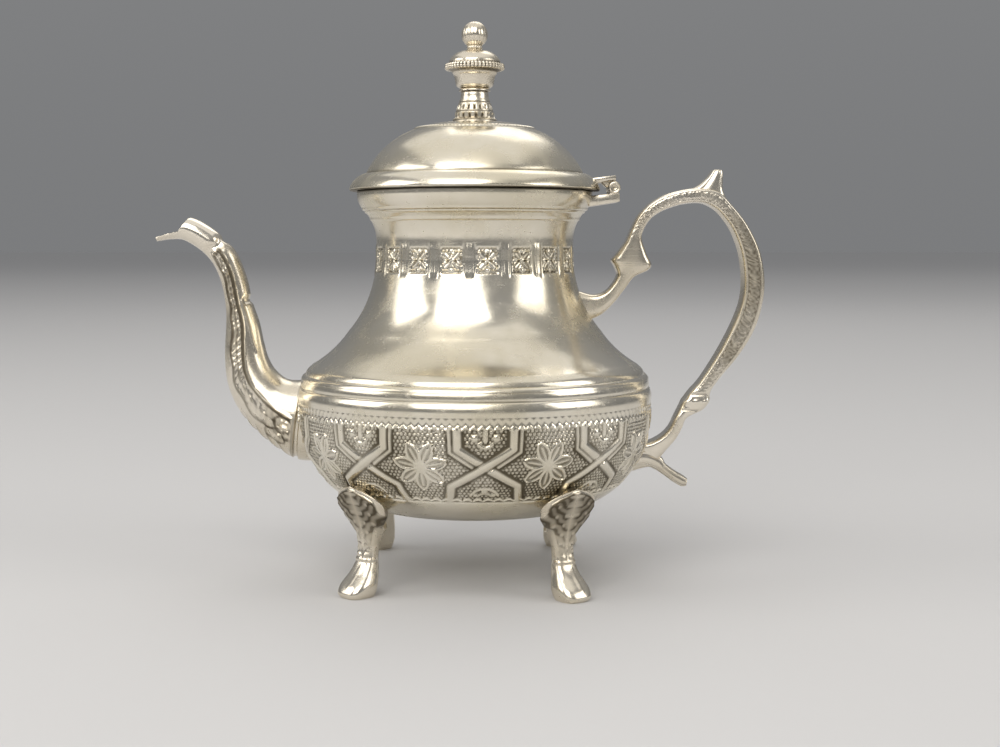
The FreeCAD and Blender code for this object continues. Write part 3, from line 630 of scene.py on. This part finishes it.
def make_lid():
    """The domed lid with its rolled flange."""
    points = profile(
        (STUD_BORE, 161.85),
        ((9.0, 161.85), 3),
        ((18.6, 160.3), 60.0, False, 8),
        ((24.0, 158.2), 48.0, False, 26),
        ((38.8, 143.65), 30.5, False, 22),
        ((44.7, 138.25), 8.0, False, 14),
        ((44.4, 137.5), 1.2, False, 3),
        ((34.9, 137.45), 4),
        ((34.9, 138.45), 1),
        ((37.8, 143.65), 3),
        ((21.25, 158.45), 28.6, True, 10),
        ((9.0, 160.85), 59.0, True, 4),
        ((STUD_BORE, 160.85), 2),
        ((STUD_BORE, 161.85), 1),
    )
    finish("lid", lathe(points, 640), "lid", SILVER, ["lid_dome"], lid_relief)


def make_finial():
    """The finial's stem, cup and ball."""
    stem = profile(
        (STUD_BORE, 161.9),
        ((7.9, 161.9), 3),
        ((7.9, 162.9), 1.2, True, 5),
        ((7.0, 163.4), 2),
        ((7.0, 165.4), 10),
        ((5.8, 168.7), 9.0, False, 18),
        ((5.0, 170.8), 6.0, False, 10),
        ((4.9, 172.4), 5),
        ((5.5, 172.6), 2),
        ((5.5, 173.3), 0.5, True, 4),
        ((4.9, 173.9), 2),
        ((STUD_BORE, 173.9), 2),
        ((STUD_BORE, 161.9), 1),
    )
    cup = profile(
        (STUD_BORE, 173.95),
        ((5.4, 173.95), 3),
        ((6.7, 175.2), 1.6, True, 6),
        ((7.3, 178.0), 6),
        ((10.3, 180.2), 3.6, False, 10),
        ((10.6, 181.3), 0.9, True, 8),
        ((10.2, 182.4), 1.0, True, 8),
        ((9.5, 182.5), 2),
        ((3.4, 187.0), 6.8, True, 18),
        ((2.7, 187.55), 2.0, False, 4),
        ((STUD_BORE, 187.55), 2),
        ((STUD_BORE, 173.95), 1),
    )
    ball = profile(
        (STUD_BORE, 187.6),
        ((2.7, 187.6), 2),
        ((2.6, 188.7), 0.8, True, 5),
        ((4.66, 192.6), 4.66, True, 12),
        ((0.0, 197.25), 4.66, True, 14),
        ((0.0, 192.65), 1),
        ((STUD_BORE, 192.65), 1),
        ((STUD_BORE, 187.6), 1),
    )
    for name, points, node, relief in (
        ("finial_foot", stem, "finial_stem", stem_relief),
        ("finial_bell", cup, "finial_cup", cup_relief),
        ("finial_knop", ball, "finial_ball", ball_relief),
    ):
        finish(name, lathe(points, 288), "lid", CAST, [node], relief)


# spout sections: place of the middle, slope of the run, height and width
SPOUT_SECTIONS = (
    (-57.6, 54.6, 8, 28.6, 25.6),
    (-63.6, 55.6, 8, 28.4, 25.0),
    (-71.5, 59.0, 18, 23.4, 21.0),
    (-78.0, 65.2, 33, 20.6, 18.5),
    (-81.8, 72.6, 52, 18.0, 16.0),
    (-83.1, 80.6, 70, 15.0, 13.6),
    (-83.6, 90.2, 85, 12.0, 11.2),
    (-84.8, 97.2, 82, 9.8, 9.6),
    (-86.6, 106.1, 74, 9.3, 9.2),
    (-90.0, 114.1, 60, 9.3, 9.2),
    (-95.6, 120.0, 36, 8.9, 9.6),
    (-103.0, 124.1, 12, 8.5, 10.2),
    (-108.6, 123.0, -2, 5.2, 8.4),
    (-113.9, 120.7, -6, 2.0, 4.4),
)


def lay_spout(along, around):
    """The spout's outside, with long leaves on its flanks and a plain stripe beneath."""
    rows = through(SPOUT_SECTIONS, along)
    turn = TAU * around
    lean = np.radians(rows[..., 2])
    nought = np.zeros_like(lean)
    upright = np.stack([np.sin(lean), nought, np.cos(lean)], axis=-1)
    aside = np.array([0.0, 1.0, 0.0])
    middle = np.stack([rows[..., 0], nought, rows[..., 1]], axis=-1)
    points = middle + upright * (rows[..., 3:4] / 2 * np.cos(turn)[..., None])
    points = points + aside * (rows[..., 4:5] / 2 * np.sin(turn)[..., None])
    side = np.degrees(np.minimum(turn, TAU - turn))
    girth = (rows[..., 3] + rows[..., 4]) / 4 * math.pi / 180
    run = along * (len(SPOUT_SECTIONS) - 1)
    leafy = ease(1.1, 1.25, run) * (1 - ease(9.2, 9.5, run))
    upper = 86 + 2 * np.sin(run * 1.9)
    lower = 121 + 3.0 * np.sin(run * 5.2)
    back_leaf = 66 - 3.4 * (run - 7.1) ** 2
    field = ease(0.0, 6.0, side - upper) * ease(0.0, 6.0, lower - side)
    cuts = np.maximum.reduce([
        ridge((side - upper) * girth, 0.75),
        0.9 * ridge((side - lower) * girth, 0.7),
        0.7 * ridge((side - back_leaf) * girth, 0.5) * ease(4.4, 4.9, run) * (1 - ease(7.1, 7.2, run)),
        0.5 * ridge((side - 0.5 * (upper + lower)) * girth, 0.45),
    ])
    uneven = np.sin(run * 17.0 + side * 0.31) * np.sin(run * 7.3 - side * 0.17)
    scales = ridge((run * 3.4 + 0.25 * np.sin(run * 5.1) + side / 40) % 1 - 0.5, 0.42)
    lumps = np.clip(0.55 * scales + 0.45 * uneven, 0, 1) * field
    tip = np.exp(-((run - 7.12) / 0.14) ** 2) * (1 - ease(48, 70, side))
    petals = np.abs(np.cos(np.radians(side) * 2.6))
    knot = np.exp(-((run - 9.62 + 0.12 * petals) / 0.2) ** 2) * (1 - ease(110, 140, side))
    knot = knot * (0.55 + 0.45 * petals)
    first_curl = np.hypot((run - 1.5) * 6.5, (side - 101) * girth)
    second_curl = np.hypot((run - 1.75) * 6.5, (side - 128) * girth)
    reach = np.minimum(first_curl, second_curl)
    curls = ridge(reach, 2.4) - 0.6 * ridge(reach - 1.3, 0.45)
    beneath = ease(134, 142, side) * (1 - ease(2.8, 3.4, run))
    under = ridge((run * 2.2 + side / 40) % 1 - 0.5, 0.4) * beneath
    flange = ease(0.78, 0.82, run) * (1 - ease(1.0, 1.04, run))
    flutes = np.abs(np.sin((run - 0.78) * TAU * 1.9))
    rise = leafy * (0.28 * lumps - 0.5 * cuts + 1.1 * curls + 0.5 * under)
    rise = rise + 0.9 * tip + 1.0 * knot + flange * (0.5 + 0.4 * flutes)
    # Painted shade and patina: the cuts, the leaves' ground, rings round the curls, the gaps between the
    # ribs beneath, the flange's flutes and two fine lines are darkened.
    shade = 0.85 * cuts + 0.32 * field * (1 - lumps) + 0.6 * ridge(reach - 2.5, 0.5) - 0.6 * curls
    hollow = leafy * np.clip(shade + 0.4 * beneath * (1 - under), 0, 1)
    hollow = hollow + flange * (1 - flutes) * 0.8 + 0.5 * ridge(run - 1.09, 0.08)
    hollow = hollow + 0.6 * np.exp(-((run - 9.3) / 0.1) ** 2) * (side < 115)
    rise = rise * (1 - ease(11.6, 12.4, run))
    points = points + faced(points) * rise[..., None]
    seat_on_bowl(points, 0.75, -1)
    return points, np.clip(hollow, 0, 1)


def make_spout():
    """The spout, with its mouth cut open along the lip."""
    shape = skin(300, 120, lay_spout)
    crest, corner, lip = (-101.0, 129.6), (-105.6, 122.9), (-114.9, 121.0)
    for start, end in ((crest, corner), (corner, lip)):
        bmesh.ops.bisect_plane(
            shape, geom=shape.verts[:] + shape.edges[:] + shape.faces[:], dist=0.001,
            plane_co=(start[0], 0, start[1]), plane_no=(start[1] - end[1], 0, end[0] - start[0]),
        )

    def above(spot, start, end):
        return (spot.x - start[0]) * (start[1] - end[1]) + (spot.z - start[1]) * (end[0] - start[0])

    def over_mouth(spot):
        return spot.x < crest[0] and above(spot, crest, corner) < 0 and above(spot, corner, lip) < 0

    cut = [face for face in shape.faces if over_mouth(face.calc_center_median())]
    bmesh.ops.delete(shape, geom=cut, context="FACES")
    piece = finish("spout_swan_neck", shape, "pot", CAST, ["spout"])
    wall = piece.modifiers.new("wall", "SOLIDIFY")
    wall.thickness = SPOUT_WALL * MM
    wall.offset = -1


# handle edges from the neck round to the bowl: outer edge, inner edge
HANDLE_EDGES = (
    (35.6, 102.6, 38.4, 90.6),
    (41.4, 100.8, 45.0, 93.2),
    (45.0, 101.1, 49.7, 97.5),
    (47.8, 102.9, 53.9, 102.9),
    (50.7, 107.4, 57.1, 107.0),
    (49.9, 110.6, 61.8, 109.2),
    (48.7, 113.0, 63.2, 111.4),
    (50.5, 115.2, 61.6, 115.0),
    (53.8, 119.8, 59.7, 120.4),
    (55.6, 124.0, 60.2, 123.6),
    (58.3, 129.0, 62.4, 127.2),
    (62.0, 133.0, 65.4, 129.6),
    (67.0, 136.0, 69.6, 131.5),
    (73.4, 137.9, 74.8, 132.9),
    (80.0, 138.6, 80.6, 133.2),
    (86.4, 137.6, 84.6, 131.6),
    (91.3, 133.0, 87.6, 129.2),
    (97.1, 125.8, 91.6, 123.6),
    (101.7, 116.6, 94.6, 115.6),
    (103.6, 106.5, 95.8, 106.4),
    (103.0, 97.5, 95.2, 98.6),
    (100.2, 88.0, 92.2, 90.2),
    (94.9, 79.1, 87.0, 80.0),
    (88.6, 71.4, 81.0, 70.4),
    (85.0, 66.2, 77.2, 66.0),
    (84.4, 62.6, 74.8, 62.6),
    (82.2, 59.4, 73.2, 59.6),
    (76.4, 56.4, 71.8, 56.6),
    (74.6, 52.6, 69.8, 52.6),
    (72.4, 48.6, 66.4, 49.4),
    (69.4, 45.0, 61.6, 47.4),
    (66.4, 41.2, 56.0, 47.6),
)
THUMB_EDGES = (
    (72.8, 135.6, 91.8, 131.0),
    (76.6, 138.0, 89.6, 135.4),
    (79.6, 139.7, 88.5, 138.2),
    (81.9, 141.7, 88.4, 140.8),
    (83.6, 143.7, 88.5, 142.8),
    (84.7, 144.9, 88.4, 144.4),
    (86.0, 145.1, 87.4, 145.0),
)
TAIL_EDGES = (
    (57.0, 46.0, 57.0, 36.8),
    (63.0, 44.6, 62.2, 38.2),
    (67.4, 42.0, 65.0, 37.4),
    (69.0, 39.4, 68.4, 35.2),
    (72.4, 36.8, 71.4, 33.0),
    (75.2, 35.2, 74.6, 31.2),
    (76.8, 34.0, 76.4, 31.4),
)


def lay_bar(edges, half_width, corner, pattern):
    """A bar between two edges in the pot's upright plane, with a chased pattern on its sides."""
    def place(along, around):
        rows = through(edges, along)
        turn = TAU * around
        wave, swing = np.cos(turn), np.sin(turn)
        thick = np.sign(wave) * np.abs(wave) ** corner
        wide = np.sign(swing) * np.abs(swing) ** corner
        middle = (rows[..., :2] + rows[..., 2:]) / 2
        half = (rows[..., :2] - rows[..., 2:]) / 2
        flat = middle + half * thick[..., None]
        points = np.stack([flat[..., 0], half_width(along) * wide, flat[..., 1]], axis=-1)
        lengths = np.linalg.norm(np.diff(middle[:, 0], axis=0), axis=1)
        run = np.concatenate([[0], np.cumsum(lengths)])[:, None] + 0 * along
        rise, hollow = pattern(run, thick, np.abs(wide), np.linalg.norm(half, axis=-1))
        return points + faced(points) * rise[..., None], hollow
    return place


def handle_leaves(run, thick, wide, half):
    """A sunk field of small uneven leaves along the handle's sides, between two plain edges."""
    face = ease(0.9, 0.985, wide)
    across = thick * half
    chased = ease(33, 44, run) * (1 - ease(146, 151, run))
    bed = (1 - ease(0.5, 0.62, np.abs(thick))) * chased
    edge = ridge(np.abs(thick) - 0.6, 0.1) * chased
    sway = 0.7 * np.sin(run / 3.7)
    grain = np.sin(run * 4.1 + 2.0 * np.sin(run * 0.9)) * np.sin(across * 3.3 + run * 0.7)
    fronds = ridge((run / 1.9 + 0.3 * np.sin(run / 1.3) + np.abs(across - sway) * 0.4) % 1 - 0.5, 0.4)
    stem = ridge(across - sway, 0.5)
    raised = np.clip(np.maximum(0.5 * fronds, 0.8 * stem) + 0.35 * grain, 0, 1)
    shell = np.exp(-((run - 153.5) / 1.2) ** 2) * (0.6 + 0.4 * np.cos(thick * 9))
    creases = np.maximum(ridge(run - 150.6, 0.7), ridge(run - 157.2, 0.7))
    rise = face * (bed * (0.22 * raised - 0.26) - 0.12 * edge - 0.3 * creases) + 0.5 * shell
    # The sunk bed, its edges and the creases are darkened as patina and painted shade.
    return rise, face * np.clip(bed * (0.7 - 0.6 * raised) + 0.35 * edge + 0.5 * creases, 0, 1)


def plain_grooves(run, thick, wide, half):
    """Two shallow cuts along a bar's sides."""
    face = ease(0.9, 0.985, wide)
    cut = ridge(np.abs(thick) - 0.45, 0.2)
    # The cuts are darkened as patina and painted shade.
    return -0.18 * face * cut, 0.3 * face * cut


def make_handle():
    """The scroll handle, its thumb piece and its tail."""
    def grip(along):
        return 5.45 - 0.5 * np.exp(-((along - 0.08) / 0.08) ** 2)

    def thumb(along):
        return 4.4 - 1.6 * along**2

    def tail(along):
        return 3.45 - 0.9 * along**2

    for name, edges, half_width, rows, pattern, nodes in (
        ("handle_scroll", HANDLE_EDGES, grip, 640, handle_leaves, ["handle"]),
        ("handle_thumb", THUMB_EDGES, thumb, 60, plain_grooves, []),
        ("handle_tail", TAIL_EDGES, tail, 80, plain_grooves, []),
    ):
        shape = skin(rows, 88, lay_bar(edges, half_width, 0.5, pattern))
        close_ends(shape)
        finish(name, shape, "pot", CAST, nodes)


# foot from the sole up: height, front and back distance from the pot's axis, half width
FOOT_ROWS = (
    (0.0, 62.0, 51.8, 4.7),
    (0.9, 62.7, 51.7, 5.3),
    (2.0, 62.8, 51.5, 5.8),
    (4.0, 61.6, 51.1, 5.9),
    (6.0, 59.6, 50.6, 5.4),
    (8.0, 57.6, 50.1, 4.8),
    (10.5, 55.8, 49.8, 4.3),
    (13.0, 54.8, 49.6, 3.8),
    (16.0, 54.1, 49.4, 3.8),
    (18.0, 54.0, 49.2, 3.95),
    (20.5, 54.2, 48.0, 4.6),
    (23.0, 54.8, 46.4, 5.9),
    (25.5, 55.6, 45.4, 7.8),
    (28.0, 56.6, 46.0, 9.9),
    (30.0, 57.5, 47.6, 11.1),
    (31.6, 58.2, 49.2, 11.45),
    (33.2, 58.9, 51.0, 10.9),
    (34.8, 59.5, 52.6, 9.3),
    (36.2, 60.0, 54.0, 6.9),
    (37.2, 60.3, 55.0, 4.4),
    (37.9, 60.4, 55.8, 0.7),
)


def lay_foot(along, around):
    """A cast foot on the x axis: shield plate with a raised rim, leafy shank and slipper toe."""
    rows = through(FOOT_ROWS, along)
    height, front, back, half = (rows[..., index] for index in range(4))
    half = np.maximum(half, 0.3)
    turn = TAU * around
    wave, swing = np.cos(turn), np.sin(turn)
    boxy = 0.62 - 0.2 * ease(20, 27, height)
    deep = np.sign(wave) * np.abs(wave) ** boxy
    wide = np.sign(swing) * np.abs(swing) ** boxy
    out = (front + back) / 2 + (front - back) / 2 * deep
    shield = ease(22, 25, height)
    side = half * wide * (1 - 0.5 * shield * ease(0.55, -0.6, deep))
    points = np.stack([out - side**2 / 110, side, height], axis=-1)
    slope = np.gradient(half[:, 0], height[:, 0])[:, None]
    inset = (half - np.abs(half * wide)) / np.sqrt(1 + slope**2)
    face = ease(-0.2, 0.1, deep)
    margin = 2.5 * ease(27.5, 31, height) - 0.6
    rim = crown(inset - 0.9, 1.5) * ease(27.5, 30.5, height)
    bed = ease(margin, margin + 0.5, inset) * shield
    shank = ease(12.6, 13.2, height) * (1 - shield) * ease(0.5, 0.9, inset)
    swirl = 0.12 * np.sin(height * 1.3 + np.abs(side) * 0.9)
    veins = ridge((height * 0.31 - np.abs(side) * 0.27 + swirl) % 1 - 0.5, 0.38)
    buds = ridge(np.hypot((height % 3.4) - 1.7, (np.abs(side) % 3.6) - 2.4), 0.9)
    spine = ridge(side, 0.8)
    leaf = np.maximum.reduce([0.6 * veins, 0.9 * buds, spine])
    seam = ridge(height - 12.4, 0.5)
    crease = ridge(side - 0.8, 0.5) * (1 - ease(9, 11.5, height)) * ease(3.0, 4.0, height)
    relief = (bed + 0.7 * shank) * (0.45 * leaf - 0.55)
    rise = face * (0.6 * rim + relief - 0.3 * seam - 0.2 * crease)
    shade = ridge(inset - margin - 0.3, 0.5) * ease(29, 31, height)
    # Painted shade: the bed and shank darken toward the bowl above, and the foot's back darkens toward the
    # top; the seam, the line under the rim and the crease are darkened as patina and painted shade.
    shade_toward_bowl = ease(14, 31, height)
    dark = (bed + shank) * (0.36 + 0.6 * shade_toward_bowl) * (1 - 0.65 * leaf)
    dark = dark + 0.35 * seam + 0.4 * shade + 0.3 * crease
    hollow = np.maximum(face * np.clip(dark, 0, 1), 0.4 * shade_toward_bowl * (1 - face))
    points = points + faced(points) * rise[..., None]
    points[..., 2] = np.clip(points[..., 2], 0.0, FOOT_TOP)
    seat_on_bowl(points, 0.7, 1, height > 24.5)
    return points, hollow


def make_feet():
    """Four feet, turned to their places round the pot."""
    for name, angle in (
        ("foot_front_left", 226.4),
        ("foot_rear_left", 133.6),
        ("foot_front_right", 305.4),
        ("foot_rear_right", 54.6),
    ):
        shape = skin(190, 160, lay_foot)
        close_ends(shape)
        bmesh.ops.rotate(shape, verts=shape.verts, matrix=Matrix.Rotation(math.radians(angle), 3, "Z"))
        finish(f"{name}_casting", shape, "pot", CAST, [name])


def plate(shape, corners, half_width):
    """A bevelled plate with these corners in the pot's upright plane."""
    spots = [shape.verts.new((x, -half_width, z)) for x, z in corners]
    face = shape.faces.new(spots)
    grown = bmesh.ops.extrude_face_region(shape, geom=[face])["geom"]
    moved = [item for item in grown if isinstance(item, bmesh.types.BMVert)]
    bmesh.ops.translate(shape, verts=moved, vec=(0, 2 * half_width, 0))
    edges = list({edge for spot in spots + moved for edge in spot.link_edges})
    bmesh.ops.bevel(shape, geom=edges, offset=0.35, affect="EDGES", segments=2, profile=0.5, material=-1)


def barrel(shape, points):
    """A knuckle or pin turned about the hinge from (radius, place along y) points."""
    spots = [shape.verts.new((HINGE[0] + radius, y, HINGE[1])) for radius, y in points]
    edges = [shape.edges.new(pair) for pair in zip(spots, spots[1:])]
    bmesh.ops.spin(
        shape, geom=spots + edges, cent=(HINGE[0], 0, HINGE[1]), axis=(0, 1, 0), dvec=(0, 0, 0),
        angle=TAU, steps=40, use_merge=True,
    )


def knuckle(low, high):
    """The outline of a knuckle with eased ends and a bore."""
    return (
        (0.95, low), (1.5, low), (1.7, low - 0.12), (1.95, low - 0.05), (2.1, low + 0.2),
        (2.1, high - 0.2), (1.95, high + 0.05), (1.7, high + 0.12), (1.5, high), (0.95, high), (0.95, low),
    )


def join(shape, other):
    """Add another shape to this one."""
    mesh = bpy.data.meshes.new("joined")
    other.to_mesh(mesh)
    other.free()
    shape.from_mesh(mesh)
    bpy.data.meshes.remove(mesh)


def make_hinge():
    """The two hinge leaves with their knuckles, and the pin."""
    lower = bmesh.new()
    plate(lower, ((40.4, 131.9), (51.3, 133.6), (51.2, 136.5), (40.2, 135.6)), 7.9)
    for side in (-1, 1):
        barrel(lower, knuckle(*sorted((side * 3.45, side * 7.85))))
        block = bmesh.new()
        plate(block, ((47.6, 135.6), (50.9, 135.8), (50.9, 138.0), (47.6, 138.0)), 2.1)
        bmesh.ops.translate(block, verts=block.verts, vec=(0, side * 5.65, 0))
        join(lower, block)
    upper = bmesh.new()
    plate(upper, ((39.6, 139.2), (47.4, 141.0), (50.0, 141.2), (49.9, 142.9), (39.6, 141.6)), 7.6)
    plate(upper, ((46.6, 138.9), (49.6, 138.9), (50.4, 141.6), (44.6, 141.0)), 2.9)
    barrel(upper, knuckle(-2.85, 2.85))
    pin = bmesh.new()
    end = ((0.0, 7.7), (0.45, 7.75), (0.6, 8.3), (0.85, 8.38), (0.9, 8.2))
    barrel(pin, [(radius, -y) for radius, y in end] + list(reversed(end)))
    for name, shape, body, node in (
        ("hinge_lower_leaf", lower, "pot", "hinge_body_leaf"),
        ("hinge_upper_leaf", upper, "lid", "hinge_lid_leaf"),
        ("hinge_rivet", pin, "pot", "hinge_pin"),
    ):
        bmesh.ops.remove_doubles(shape, verts=shape.verts, dist=0.001)
        finish(name, shape, body, CAST, [node], crisp=40)


def dress_nodes():
    """Give the nodes that keep their own shape a brass finish."""
    for name in ("strainer_plate", "lid_bezel", "finial_stud", "finial_washer", "finial_nut"):
        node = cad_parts[name]
        node.data.materials.clear()
        node.data.materials.append(BRASS)


def plain(name, colour, roughness):
    """One colour and roughness all over."""
    material = bpy.data.materials.new(name)
    material.use_nodes = True
    shader = material.node_tree.nodes["Principled BSDF"]
    shader.inputs["Base Color"].default_value = colour
    shader.inputs["Roughness"].default_value = roughness
    return material


def make_studio():
    """A pale floor, a soft grey room and five large lamps."""
    ground = bmesh.new()
    bmesh.ops.create_grid(ground, x_segments=1, y_segments=1, size=30.0)
    mesh = bpy.data.meshes.new("floor")
    ground.to_mesh(mesh)
    ground.free()
    mesh.materials.append(plain("floor_paper", (0.6, 0.6, 0.61, 1), 0.75))
    floor = bpy.data.objects.new("floor", mesh)
    bpy.context.scene.collection.objects.link(floor)

    world = bpy.data.worlds.new("room")
    bpy.context.scene.world = world
    world.use_nodes = True
    tree = world.node_tree
    tree.nodes.clear()
    paint = Paint(tree)
    place = paint.node("ShaderNodeTexCoord", {}, {}, "Generated")
    height = paint.node("ShaderNodeSeparateXYZ", {}, {"Vector": place}, "Z")
    lift = height.between(0.0, 0.8)
    colour = lift.mixed((0.25, 0.254, 0.26, 1), (0.42, 0.42, 0.42, 1))
    glow = paint.node("ShaderNodeBackground", {}, {"Color": colour, "Strength": 0.8})
    paint.node("ShaderNodeOutputWorld", {}, {"Surface": glow})

    for name, place, aim, size, power in (
        ("key_lamp", (-0.35, -1.2, 1.15), (0, 0, 0.07), 1.3, 16.0),
        ("fill_lamp", (1.3, -0.5, 0.7), (0, 0, 0.08), 0.8, 5.0),
        ("side_lamp", (-1.3, -0.25, 0.8), (0, 0, 0.08), 0.9, 6.0),
        ("back_lamp", (0.3, 1.6, 2.0), (0, 0, 0.08), 1.4, 7.0),
        ("top_lamp", (0.0, 1.2, 4.2), (0, 1.0, 0), 6.0, 60.0),
    ):
        lamp = bpy.data.lights.new(name, "AREA")
        lamp.size = size
        lamp.energy = power
        lamp.color = (1.0, 0.965, 0.91)
        stand = bpy.data.objects.new(name, lamp)
        stand.location = place
        stand.rotation_euler = (Vector(aim) - Vector(place)).to_track_quat("-Z", "Y").to_euler()
        bpy.context.scene.collection.objects.link(stand)


def make_camera():
    """The camera in front of the pot, tipped a little down."""
    lens = bpy.data.cameras.new("camera")
    lens.lens = 54
    lens.sensor_width = 36
    camera = bpy.data.objects.new("camera", lens)
    camera.location = (0.009, -0.540, 0.118)
    camera.rotation_euler = (math.radians(90 - 4.86), 0, 0)
    bpy.context.scene.collection.objects.link(camera)
    bpy.context.scene.camera = camera


make_camera()
make_bowl()
make_upper_body()
make_collar()
make_lid()
make_finial()
make_spout()
make_handle()
make_feet()
make_hinge()
dress_nodes()
make_studio()
bpy.context.scene.view_settings.view_transform = "Standard"
